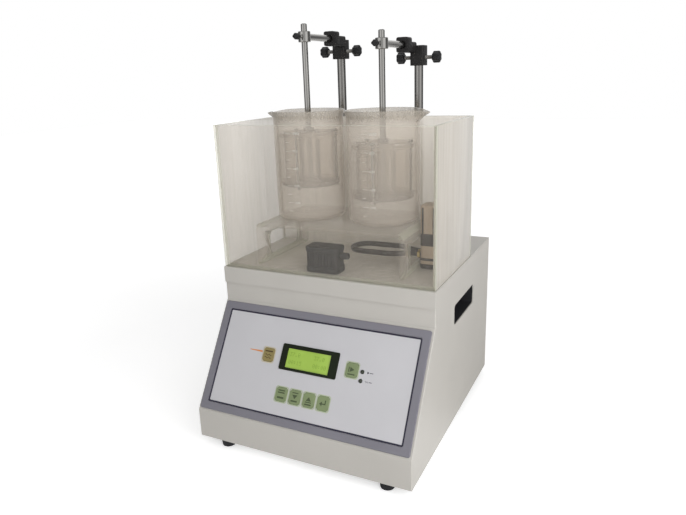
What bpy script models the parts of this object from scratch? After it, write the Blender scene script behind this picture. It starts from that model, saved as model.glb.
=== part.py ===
"""Tablet disintegration tester with two basket stations, modelled in metres, +Z up.

The front faces -Y and +X is the viewer's right. The origin is the centre of the footprint on the bench.
Every solid is a separate object. Moving pieces have their origin on the axis they move about or along.
"""
import math

import bmesh
import bpy
from mathutils import Matrix, Vector

# Fits and facets
GAP = 0.0003
OVERRUN = 0.004
EMBED = 0.001
WELD = 0.00001
FINE_SIDES = 32
DISC_SIDES = 24
ROD_SIDES = 16
SLIM_SIDES = 12
SMALL_SIDES = 8
HEX_SIDES = 6
CORNER_STEPS = 3
SMOOTH_ANGLE = math.radians(35)
SOFTEN_ANGLE = math.radians(60)

# Basket racks
TUBE_LENGTH = 0.0775
TUBE_BORE = 0.010925
TUBE_WALL = 0.0018
TUBE_SPACING = 0.00355
TUBE_COUNT = 6
PLATE_MARGIN = 0.003275
PLATE_THICKNESS = 0.0065
MESH_THICKNESS = 0.0012
MESH_MARGIN = 0.0015
TIE_COUNT = 3
TIE_EDGE = 0.0012
TIE_RADIUS = 0.002
TIE_HEAD_RADIUS = 0.0038
TIE_HEAD_HEIGHT = 0.003
BASKET_ROD_RADIUS = 0.0045
BASKET_ROD_TOP = 0.018
HUB_RADIUS = 0.008
HUB_HEIGHT = 0.006
HUB_FOOT_RADIUS = 0.007
BASKET_ABOVE_FOOT = 0.0415

# Beakers
BASKET_CLEARANCE = 0.0051
BEAKER_WALL = 0.0024
BEAKER_HEIGHT = 0.161
BEAKER_BOTTOM = 0.004
BEAKER_CORNER = 0.008
BEAKER_FLARE = 0.0025
BEAKER_SPACING = 0.016
SPOUT_REACH = 0.016
SPOUT_HEIGHT = 0.018
SPOUT_HALF_ANGLE = math.radians(24)

# Acrylic water tank, shelf and the bath fittings
ACRYLIC = 0.005
TANK_FLOOR = 0.004
TANK_HEIGHT = 0.2145
TANK_SIDE_MARGIN = 0.001
TANK_STEP = 0.0007
TANK_FRONT_GAP = 0.0333
TANK_REAR_GAP = 0.0297
SHELF_SIDE_MARGIN = 0.005
SHELF_END_MARGIN = 0.0225
SHELF_HEIGHT = 0.064
SHELF_BEND = 0.008
SHELF_WINDOW_MARGIN = 0.030
SHELF_WINDOW_SILL = 0.008
SHELF_WINDOW_HEAD = 0.020
PUMP_WIDTH = 0.052
PUMP_DEPTH = 0.030
PUMP_HEIGHT = 0.038
PUMP_RADIUS = 0.006
PUMP_CENTRE_X = -0.004
PUMP_WALL_GAP = 0.0008
PUMP_NOZZLE_RADIUS = 0.005
PUMP_NOZZLE_LENGTH = 0.012
PUMP_NOZZLE_HEIGHT = 0.025
HEATER_COLUMN_WIDTH = 0.026
HEATER_COLUMN_DEPTH = 0.030
HEATER_COLUMN_HEIGHT = 0.093
HEATER_COLUMN_RADIUS = 0.006
HEATER_SHELF_GAP = 0.002
HEATER_WALL_GAP = 0.018
HEATER_BEHIND_BASKET = 0.001
HEATER_TUBE_RADIUS = 0.0040
HEATER_LOOP_WIDTH = 0.044
HEATER_LOOP_LENGTH = 0.123
HEATER_TUBE_HEIGHT = 0.020
HEATER_LOOP_STEPS = 6
FLARE_OUT_SHARE = 0.75
PROBE_RADIUS = 0.003
PROBE_HEIGHT = 0.070
PROBE_NUT_RADIUS = 0.008
PROBE_NUT_HEIGHT = 0.006
PROBE_WALL_GAP = 0.012
PROBE_BEHIND_BASKET = 0.050

# Sheet-metal cabinet: the tank, the drive and the panel set its size
LIP_HEIGHT = 0.0445
PANEL_TILT = math.radians(57.2)
FACE_MARGIN = 0.0041
BAND_HEIGHT = 0.0521
DRIVE_BEHIND_TANK = 0.0468
DRIVE_TO_BACK = 0.074
SHEET = 0.0015
FOLD_RADIUS = 0.003
EDGE_BEVEL = 0.0008
APRON_HEIGHT = 0.025
FOOT_HEIGHT = 0.013
FOOT_RADIUS = 0.0115
FOOT_TAPER = 0.0015
FOOT_INSET_X = 0.040
FOOT_INSET_Y = 0.0155
TRAY_FLANGE = 0.012
VENT_LENGTH = 0.070
VENT_HEIGHT = 0.004
VENT_PITCH = 0.012
VENT_ROWS = 5
VENT_END_SHARE = 0.45
VENT_FROM_SIDE = 0.085
VENT_BELOW_TOP = 0.078
BASE_VENT_COUNT = 5
BASE_VENT_FROM_FRONT = 0.095

# Moulded hand grips in the two side walls
GRIP_LENGTH = 0.108
GRIP_OPENING = 0.0315
GRIP_RADIUS = 0.005
GRIP_DEPTH = 0.026
GRIP_WALL = 0.002
GRIP_FLANGE = 0.006
GRIP_FROM_BACK = 0.155
GRIP_BELOW_TOP = 0.0675

# Control panel on the sloping face, placed from the centre of that face
BEZEL_SIDE_MARGIN = 0.003
BEZEL_HEIGHT = 0.166
BEZEL_BORDER = 0.011
BEZEL_THICKNESS = 0.003
BEZEL_RADIUS = 0.003
BEZEL_CHAMFER = 0.0008
OVERLAY_THICKNESS = 0.0015
LCD_WIDTH = 0.092
LCD_HEIGHT = 0.0375
LCD_CENTRE = (-0.0045, 0.0140)
LCD_RADIUS = 0.002
LCD_PROUD = 0.0026
LCD_BACK = 0.004
WINDOW_WIDTH = 0.070
WINDOW_HEIGHT = 0.0285
WINDOW_CENTRE = (-0.0060, 0.0130)
WINDOW_RECESS = 0.0012
MODULE_DEPTH = 0.006
KEY_WIDTH = 0.018
KEY_HEIGHT = 0.020
KEY_RADIUS = 0.0025
KEY_PROUD = 0.0010
KEY_DEPTH = 0.0030
KEY_ROW_PITCH = 0.0225
KEY_ROW_CENTRE = (-0.0025, -0.0398)
RUN_KEY_CENTRE = (0.0640, 0.0126)
HEATER_KEY_CENTRE = (-0.0717, 0.0120)
LED_RADIUS = 0.0029
LED_PROUD = 0.0014
LED_CENTRES = ((0.0796, 0.0129), (0.0793, 0.0004))
BOARD_WIDTH = 0.220
BOARD_HEIGHT = 0.096
BOARD_THICKNESS = 0.0016
BOARD_DEPTH = 0.016
BOARD_CENTRE = (0.0, -0.008)
SWITCH_SIZE = 0.006
SWITCH_CLEARANCE = 0.0010
APERTURE_BORDER = 0.006
CAPACITOR_RADIUS = 0.006
CAPACITOR_HEIGHT = 0.018
CAPACITOR_CENTRES = ((-0.073, -0.032), (0.073, -0.032))

# Drive: crank, yokes, rods, guides and the clamp heads
ARM_OFFSET = 0.007
DRIVE_ROD_RADIUS = 0.007
CRANK_THROW = 0.0275
REST_OFFSET = 0.0075
CRANK_HEIGHT = 0.154
CRANK_DISC_RADIUS = 0.036
CRANK_DISC_THICKNESS = 0.005
CRANK_PIN_LENGTH = 0.007
CRANK_PIN_RADIUS = 0.004
CRANK_PIN_CLEARANCE = 0.0005
SHAFT_RADIUS = 0.004
MOTOR_RADIUS = 0.030
MOTOR_END_GAP = 0.008
GEARBOX_SIZE = 0.066
GEARBOX_RISE = 0.003
YOKE_PLATE = 0.006
YOKE_END = 0.011
YOKE_HEIGHT = 0.024
YOKE_SLOT_CLEARANCE = 0.0005
YOKE_BLOCK = 0.024
YOKE_RADIUS = 0.003
ROD_END_CHAMFER = 0.001
ROD_TAIL = 0.0055
LOWER_GUIDE_CLEARANCE = 0.0085
LOWER_GUIDE_HEIGHT = 0.009
LOWER_GUIDE_RADIUS = 0.012
BRIDGE_THICKNESS = 0.006
BRIDGE_DEPTH = 0.060
BRIDGE_MARGIN = 0.018
BRIDGE_BEND = 0.003
CHEEK_THICKNESS = 0.005
CHEEK_BORDER = 0.006
CHEEK_SPACING = 0.022
BUSH_FLANGE_RADIUS = 0.015
BUSH_FLANGE_HEIGHT = 0.004
BUSH_SLEEVE_RADIUS = 0.010
BUSH_SLEEVE_LENGTH = 0.022
ARM_ABOVE_COVER = 0.3258
ARM_RADIUS = 0.005
HEAD_WIDTH = 0.022
HEAD_HEIGHT = 0.030
HEAD_BELOW_ARM = 0.015
HEAD_ROUND = 0.003
SCREW_BELOW_CENTRE = 0.003
ROD_TOP_RECESS = 0.002
SOCKET_WIDTH = 0.018
SOCKET_HEIGHT = 0.022
SOCKET_LENGTH = 0.020
SOCKET_REACH = 0.056
SOCKET_BORE_DEPTH = 0.018
NECK_WIDTH = 0.014
NECK_HEIGHT = 0.016
COLLAR_RADIUS = 0.0090
COLLAR_HEIGHT = 0.015
SCREW_RADIUS = 0.003
SCREW_KNOB_RADIUS = 0.0088
SCREW_KNOB_LENGTH = 0.012
SCREW_KNOB_CENTRE = 0.029
SCREW_LOBES = 6
ARM_SCREW_LOBES = 4
LOBE_DEPTH_SHARE = 0.18
ARM_SCREW_RADIUS = 0.002
ARM_KNOB_RADIUS = 0.0045
ARM_KNOB_LENGTH = 0.011
ARM_KNOB_END = 0.0275

# Transformer, power inlet with fuse drawer, and the rocker switch
TRANSFORMER_WIDTH = 0.066
TRANSFORMER_DEPTH = 0.044
TRANSFORMER_HEIGHT = 0.056
TRANSFORMER_SIDE_GAP = 0.0252
TRANSFORMER_FROM_FRONT = 0.150
BOBBIN_INSET = 0.012
BOBBIN_PROUD = 0.010
BOBBIN_RADIUS = 0.003
INLET_WIDTH = 0.030
INLET_HEIGHT = 0.066
INLET_BORDER = 0.006
INLET_RADIUS = 0.003
INLET_FLANGE = 0.0025
INLET_DEPTH = 0.026
INLET_FROM_SIDE = 0.065
INLET_CENTRE_HEIGHT = 0.080
SOCKET_RECESS_WIDTH = 0.0245
SOCKET_RECESS_HEIGHT = 0.0170
SOCKET_RECESS_DEPTH = 0.016
SOCKET_OFFSET = -0.0195
BLADE_WIDTH = 0.002
BLADE_HEIGHT = 0.004
BLADE_SPACING = 0.007
BLADE_SHORTFALL = 0.003
DRAWER_WIDTH = 0.020
DRAWER_HEIGHT = 0.007
DRAWER_PROUD = 0.001
DRAWER_OFFSET = -0.0035
ROCKER_WIDTH = 0.020
ROCKER_HEIGHT = 0.026
ROCKER_PROUD = 0.0025
ROCKER_BACK = 0.004
ROCKER_WELL = 0.008
ROCKER_TILT = math.radians(7)
ROCKER_OFFSET = 0.0160
ROCKER_CLEARANCE = 0.0006

# Sizes that follow from the pieces they hold: rack, beaker, shelf, tank, cabinet
TUBE_OUTER = TUBE_BORE + TUBE_WALL
TUBE_CIRCLE = 2 * TUBE_OUTER + TUBE_SPACING
PLATE_RADIUS = TUBE_CIRCLE + TUBE_OUTER + PLATE_MARGIN
TIE_CIRCLE = PLATE_RADIUS - TIE_HEAD_RADIUS - TIE_EDGE
BEAKER_RADIUS = PLATE_RADIUS + BASKET_CLEARANCE + BEAKER_WALL
STATION_PITCH = 2 * BEAKER_RADIUS + BEAKER_SPACING
SHELF_WIDTH = STATION_PITCH + 2 * BEAKER_RADIUS + 2 * SHELF_SIDE_MARGIN
SHELF_DEPTH = 2 * BEAKER_RADIUS + 2 * SHELF_END_MARGIN
HEATER_ROOM = HEATER_SHELF_GAP + HEATER_COLUMN_WIDTH + HEATER_WALL_GAP
TANK_WIDTH = SHELF_WIDTH + 2 * HEATER_ROOM + 2 * ACRYLIC
TANK_DEPTH = TANK_FRONT_GAP + 2 * BEAKER_RADIUS + TANK_REAR_GAP + 2 * ACRYLIC
FACE_LENGTH = BEZEL_HEIGHT + 2 * FACE_MARGIN
PANEL_SETBACK = FACE_LENGTH * math.cos(PANEL_TILT)
PANEL_RISE = FACE_LENGTH * math.sin(PANEL_TILT)
CABINET_WIDTH = TANK_WIDTH + 2 * TANK_SIDE_MARGIN
CABINET_DEPTH = PANEL_SETBACK + TANK_STEP + TANK_DEPTH + DRIVE_BEHIND_TANK + DRIVE_TO_BACK
CABINET_HEIGHT = LIP_HEIGHT + PANEL_RISE + BAND_HEIGHT
BEZEL_WIDTH = CABINET_WIDTH - 2 * BEZEL_SIDE_MARGIN
DRIVE_PITCH = STATION_PITCH + 2 * ARM_OFFSET
YOKE_SLOT_HEIGHT = 2 * (CRANK_PIN_RADIUS + YOKE_SLOT_CLEARANCE)
YOKE_LENGTH = 2 * (CRANK_THROW + CRANK_PIN_RADIUS + YOKE_END)
CHEEK_WIDTH = 2 * (MOTOR_RADIUS + CHEEK_BORDER)

# Places that follow from the sizes above
REAR_PROUD = INLET_FLANGE + GAP + ROCKER_PROUD
FRONT_Y = -(CABINET_DEPTH + REAR_PROUD) / 2
BACK_Y = FRONT_Y + CABINET_DEPTH
SIDE_X = CABINET_WIDTH / 2
INNER_X = SIDE_X - SHEET - GAP
BOTTOM_Z = FOOT_HEIGHT
TOP_Z = BOTTOM_Z + CABINET_HEIGHT
LIP_Z = BOTTOM_Z + LIP_HEIGHT
BAND_Y = FRONT_Y + PANEL_SETBACK
BAND_Z = LIP_Z + PANEL_RISE
COVER_UNDER_Z = TOP_Z - SHEET
BASE_TOP_Z = BOTTOM_Z + SHEET
PANEL_CENTRE = (0, (FRONT_Y + BAND_Y) / 2, (LIP_Z + BAND_Z) / 2)
GRIP_CENTRE = (BACK_Y - GRIP_FROM_BACK, TOP_Z - GRIP_BELOW_TOP)
TANK_Y = BAND_Y + TANK_STEP
TANK_Z = TOP_Z + GAP
TANK_FLOOR_Z = TANK_Z + TANK_FLOOR
TANK_INNER_X = TANK_WIDTH / 2 - ACRYLIC
FITTINGS_Z = TANK_FLOOR_Z + GAP
SHELF_TOP_Z = FITTINGS_Z + SHELF_HEIGHT
BASKET_Y = TANK_Y + ACRYLIC + TANK_FRONT_GAP + BEAKER_RADIUS
DRIVE_Y = TANK_Y + TANK_DEPTH + DRIVE_BEHIND_TANK
STATION_X = STATION_PITCH / 2
DRIVE_X = DRIVE_PITCH / 2
HEATER_X = SHELF_WIDTH / 2 + HEATER_SHELF_GAP + HEATER_COLUMN_WIDTH / 2
PROBE_X = TANK_INNER_X - PROBE_WALL_GAP - PROBE_NUT_RADIUS
BEAKER_Z = SHELF_TOP_Z + GAP
MESH_Z = BEAKER_Z + BEAKER_BOTTOM + BASKET_ABOVE_FOOT - TIE_HEAD_HEIGHT
LOWER_PLATE_Z = MESH_Z + MESH_THICKNESS + GAP
UPPER_PLATE_TOP_Z = LOWER_PLATE_Z + TUBE_LENGTH
CRANK_Z = CRANK_HEIGHT
BRIDGE_Z = CRANK_Z - CRANK_THROW - YOKE_HEIGHT / 2 - LOWER_GUIDE_CLEARANCE - LOWER_GUIDE_HEIGHT
ROD_BELOW_YOKE = CRANK_Z - BRIDGE_Z + CRANK_THROW + ROD_TAIL
YOKE_PLATE_X = DRIVE_X - YOKE_BLOCK / 2 + EMBED
YOKE_FACE_X = YOKE_PLATE_X - YOKE_PLATE
PIN_END_X = YOKE_FACE_X - CRANK_PIN_CLEARANCE
DISC_OUTER_X = PIN_END_X - CRANK_PIN_LENGTH
DISC_INNER_X = DISC_OUTER_X - CRANK_DISC_THICKNESS
MOTOR_END_X = DISC_INNER_X - MOTOR_END_GAP
ARM_Z = TOP_Z + ARM_ABOVE_COVER
HEAD_Z = ARM_Z - HEAD_BELOW_ARM
ROD_TOP_Z = HEAD_Z + HEAD_HEIGHT / 2 - ROD_TOP_RECESS
INLET_PLACE = (INLET_FROM_SIDE - SIDE_X, BACK_Y + GAP, BOTTOM_Z + INLET_CENTRE_HEIGHT)
STATIONS = (("left", -1), ("right", 1))


def material(name, colour, roughness, metallic=0.0):
    """One Principled material per kind of surface."""
    made = bpy.data.materials.new(name)
    made.use_nodes = True
    shader = made.node_tree.nodes["Principled BSDF"]
    shader.inputs["Base Color"].default_value = (*colour, 1.0)
    shader.inputs["Roughness"].default_value = roughness
    shader.inputs["Metallic"].default_value = metallic
    made.diffuse_color = (*colour, 1.0)
    return made


def piece(name, mesh, surface, place=(0, 0, 0), parent=None, tilt=(0, 0, 0)):
    """Turn a bmesh into a named object."""
    data = bpy.data.meshes.new(name)
    bmesh.ops.recalc_face_normals(mesh, faces=mesh.faces)
    mesh.to_mesh(data)
    mesh.free()
    data.materials.append(surface)
    data.shade_smooth()
    data.set_sharp_from_angle(angle=SMOOTH_ANGLE)
    made = bpy.data.objects.new(name, data)
    made.location = place
    made.rotation_euler = tilt
    made.parent = parent
    bpy.context.scene.collection.objects.link(made)
    return made


def shape_with(target, mesh, operation):
    """Cut from or join to a piece; the tool shares the piece's own frame."""
    label = f"{target.name}.{operation.lower()}.{len(target.modifiers)}"
    tool = piece(label, mesh, target.data.materials[0], target.location, target.parent, target.rotation_euler)
    tool.hide_render = True
    tool.display_type = "WIRE"
    step = target.modifiers.new(label, "BOOLEAN")
    step.operation = operation
    step.solver = "EXACT"
    step.object = tool


def cut(target, mesh):
    shape_with(target, mesh, "DIFFERENCE")


def fuse(target, mesh):
    shape_with(target, mesh, "UNION")


def soften(target, width, segments=1):
    """Round or chamfer the sharp edges of a piece."""
    step = target.modifiers.new("soften", "BEVEL")
    step.width = width
    step.segments = segments
    step.limit_method = "ANGLE"
    step.angle_limit = SOFTEN_ANGLE


def prism(outline, start, end, axis="Z"):
    """Extrude an outline. About X its points are (y, z), about Y they are (x, z), about Z they are (x, y)."""
    places = {"X": lambda a, b: (start, a, b), "Y": lambda a, b: (a, start, b), "Z": lambda a, b: (a, b, start)}
    directions = {"X": Vector((1, 0, 0)), "Y": Vector((0, 1, 0)), "Z": Vector((0, 0, 1))}
    mesh = bmesh.new()
    face = mesh.faces.new([mesh.verts.new(places[axis](a, b)) for a, b in outline])
    raised = bmesh.ops.extrude_face_region(mesh, geom=[face])["geom"]
    corners = [item for item in raised if isinstance(item, bmesh.types.BMVert)]
    bmesh.ops.translate(mesh, verts=corners, vec=directions[axis] * (end - start))
    bmesh.ops.recalc_face_normals(mesh, faces=mesh.faces)
    return mesh


def turned(profile, sides, axis="Z"):
    """Revolve a profile of (radius, height) points. A profile that meets the axis at both ends is left open there."""
    mesh = bmesh.new()
    points = [mesh.verts.new((radius, 0, height)) for radius, height in profile]
    links = [mesh.edges.new(pair) for pair in zip(points, points[1:])]
    on_axis = profile[0][0] == 0 and profile[-1][0] == 0
    if not on_axis:
        links.append(mesh.edges.new((points[-1], points[0])))
    bmesh.ops.spin(mesh, geom=points + links, cent=(0, 0, 0), axis=(0, 0, 1), angle=math.tau, steps=sides)
    bmesh.ops.remove_doubles(mesh, verts=mesh.verts, dist=WELD)
    if axis == "X":
        bmesh.ops.transform(mesh, matrix=axis_turn("Y", math.pi / 2), verts=mesh.verts)
    if axis == "Y":
        bmesh.ops.transform(mesh, matrix=axis_turn("X", -math.pi / 2), verts=mesh.verts)
    bmesh.ops.recalc_face_normals(mesh, faces=mesh.faces)
    return mesh


def axis_turn(axis, angle):
    return Matrix.Rotation(angle, 4, axis)


def merged(parts):
    """Collect closed shapes in one mesh."""
    whole = bmesh.new()
    for part in parts:
        data = bpy.data.meshes.new("part")
        part.to_mesh(data)
        part.free()
        whole.from_mesh(data)
        bpy.data.meshes.remove(data)
    return whole


def shifted(mesh, x=0.0, y=0.0, z=0.0):
    bmesh.ops.translate(mesh, verts=mesh.verts, vec=(x, y, z))
    return mesh


def rectangle(width, height, centre=(0, 0)):
    across, up = centre
    return [(across - width / 2, up - height / 2), (across + width / 2, up - height / 2),
            (across + width / 2, up + height / 2), (across - width / 2, up + height / 2)]


def rounded(points, radius, steps=CORNER_STEPS):
    """Replace each corner of an outline by an arc."""
    outline = []
    for index, corner in enumerate(points):
        here = Vector(corner)
        back = (Vector(points[index - 1]) - here).normalized()
        ahead = (Vector(points[(index + 1) % len(points)]) - here).normalized()
        half = back.angle(ahead) / 2
        middle = (back + ahead).normalized()
        centre = here + middle * (radius / math.sin(half))
        start = here + back * (radius / math.tan(half)) - centre
        end = here + ahead * (radius / math.tan(half)) - centre
        for step in range(steps + 1):
            spoke = start.lerp(end, step / steps).normalized()
            outline.append(tuple(centre + spoke * radius))
    return outline


def rounded_rectangle(width, height, radius, centre=(0, 0), steps=CORNER_STEPS):
    return rounded(rectangle(width, height, centre), radius, steps)


def circle(radius, sides, centre=(0, 0)):
    turns = [math.tau * index / sides for index in range(sides)]
    return [(centre[0] + radius * math.cos(turn), centre[1] + radius * math.sin(turn)) for turn in turns]


def ring_places(radius, count, first_angle=0.0):
    """Evenly spaced places on a circle."""
    angles = [first_angle + math.tau * index / count for index in range(count)]
    return [(radius * math.cos(angle), radius * math.sin(angle)) for angle in angles]


def cabinet_profile(inset=0.0, overrun=0.0):
    """Side outline of the cabinet as (y, z); the inset is the sheet's thickness, the overrun opens three sides."""
    slant = inset / math.tan((math.pi / 2 + PANEL_TILT) / 2)
    front = FRONT_Y + inset
    band = BAND_Y + inset
    top = COVER_UNDER_Z - GAP + overrun
    back = BACK_Y + overrun
    under = BOTTOM_Z - overrun
    return [(front, under), (front, LIP_Z - slant), (band, BAND_Z - slant), (band, top), (back, top), (back, under)]


def fold_profile(points, folds, radius):
    """Round only the listed corners of an outline."""
    outline = []
    arcs = rounded(points, radius)
    per_corner = CORNER_STEPS + 1
    for index, point in enumerate(points):
        if index in folds:
            outline.extend(arcs[index * per_corner:(index + 1) * per_corner])
        else:
            outline.append(point)
    return outline


def hand_slot(width=0.0):
    """Outline of the slot in a side wall as (y, z), grown by a width all round."""
    return rounded_rectangle(GRIP_LENGTH + 2 * width, GRIP_OPENING + 2 * width, GRIP_RADIUS + width, GRIP_CENTRE)


def build_cabinet():
    painted = material("cabinet_paint", (0.56, 0.53, 0.48), 0.45)
    folds = fold_profile(cabinet_profile(), (1, 2), FOLD_RADIUS)
    shell = piece("cabinet_shell", prism(folds, -SIDE_X, SIDE_X, "X"), painted)
    soften(shell, EDGE_BEVEL)
    cavity = fold_profile(cabinet_profile(SHEET, OVERRUN), (1, 2), FOLD_RADIUS - SHEET)
    cut(shell, prism(cavity, SHEET - SIDE_X, SIDE_X - SHEET, "X"))
    cut(shell, prism(hand_slot(), -SIDE_X - OVERRUN, SIDE_X + OVERRUN, "X"))

    apron_y = BAND_Y - GAP - SHEET
    apron_z = TOP_Z - APRON_HEIGHT
    fold = [(apron_y, apron_z), (apron_y, TOP_Z), (BACK_Y, TOP_Z), (BACK_Y, COVER_UNDER_Z),
            (BAND_Y - GAP, COVER_UNDER_Z), (BAND_Y - GAP, apron_z)]
    cover = piece("top_cover", prism(fold_profile(fold, (1,), SHEET), -SIDE_X, SIDE_X, "X"), painted)
    bores = [prism(circle(BUSH_SLEEVE_RADIUS + GAP, ROD_SIDES, (side * DRIVE_X, DRIVE_Y)),
                   COVER_UNDER_Z - OVERRUN, TOP_Z + OVERRUN) for name, side in STATIONS]
    cut(cover, merged(bores))

    plated = material("zinc_plated_steel", (0.50, 0.50, 0.48), 0.4, 0.9)
    tray_front = FRONT_Y + SHEET + GAP
    flange_z = BOTTOM_Z + TRAY_FLANGE
    tray = [(-INNER_X, BOTTOM_Z), (INNER_X, BOTTOM_Z), (INNER_X, flange_z), (INNER_X - SHEET, flange_z),
            (INNER_X - SHEET, BASE_TOP_Z), (SHEET - INNER_X, BASE_TOP_Z), (SHEET - INNER_X, flange_z),
            (-INNER_X, flange_z)]
    base = piece("base_plate", prism(tray, tray_front, BACK_Y - SHEET - GAP, "Y"), plated)
    slots = []
    for index in range(BASE_VENT_COUNT):
        place = (index - (BASE_VENT_COUNT - 1) / 2) * VENT_PITCH
        centre = (0, FRONT_Y + BASE_VENT_FROM_FRONT + place)
        slot = rounded_rectangle(VENT_LENGTH, VENT_HEIGHT, VENT_HEIGHT * VENT_END_SHARE, centre, 1)
        slots.append(prism(slot, BOTTOM_Z - OVERRUN, BASE_TOP_Z + OVERRUN))
    cut(base, merged(slots))

    centre_z = (BOTTOM_Z + COVER_UNDER_Z) / 2
    rear_height = COVER_UNDER_Z - BOTTOM_Z - 2 * GAP
    rear_outline = rectangle(2 * INNER_X, rear_height, (0, centre_z))
    rear = piece("rear_panel", prism(rear_outline, BACK_Y - SHEET, BACK_Y, "Y"), painted)
    openings = [prism(rectangle(INLET_WIDTH + 2 * GAP, INLET_HEIGHT + 2 * GAP, (INLET_PLACE[0], INLET_PLACE[2])),
                      BACK_Y - SHEET - OVERRUN, BACK_Y + OVERRUN, "Y")]
    for index in range(VENT_ROWS):
        place = TOP_Z - VENT_BELOW_TOP + (index - (VENT_ROWS - 1) / 2) * VENT_PITCH
        for side in (-1, 1):
            centre = (side * (SIDE_X - VENT_FROM_SIDE), place)
            slot = rounded_rectangle(VENT_LENGTH, VENT_HEIGHT, VENT_HEIGHT * VENT_END_SHARE, centre, 1)
            openings.append(prism(slot, BACK_Y - SHEET - OVERRUN, BACK_Y + OVERRUN, "Y"))
    cut(rear, merged(openings))

    rubber = material("black_rubber", (0.02, 0.02, 0.02), 0.8)
    foot_x = SIDE_X - FOOT_INSET_X
    foot_rows = (FRONT_Y + FOOT_INSET_Y, BACK_Y - FOOT_INSET_Y)
    foot = [(0, 0), (FOOT_RADIUS - FOOT_TAPER, 0), (FOOT_RADIUS, FOOT_HEIGHT - GAP), (0, FOOT_HEIGHT - GAP)]
    for row_name, row in zip(("front", "rear"), foot_rows):
        for side_name, side in STATIONS:
            piece(f"{row_name}_{side_name}_foot", turned(foot, ROD_SIDES), rubber, (side * foot_x, row, 0))
    return shell


def build_grips():
    """A moulded pocket behind each slot, with its flange against the inside of the wall."""
    moulded = material("black_moulding", (0.02, 0.02, 0.022), 0.5)
    for name, side in STATIONS:
        wall = side * INNER_X
        flange_in = wall - side * GRIP_WALL
        floor = wall - side * (GRIP_DEPTH + GRIP_WALL)
        grip = piece(f"{name}_hand_grip", prism(hand_slot(GRIP_FLANGE), flange_in, wall, "X"), moulded)
        fuse(grip, prism(hand_slot(GRIP_WALL), floor, wall - side * GRIP_WALL / 2, "X"))
        cut(grip, prism(hand_slot(), floor + side * GRIP_WALL, wall + side * OVERRUN, "X"))


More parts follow.
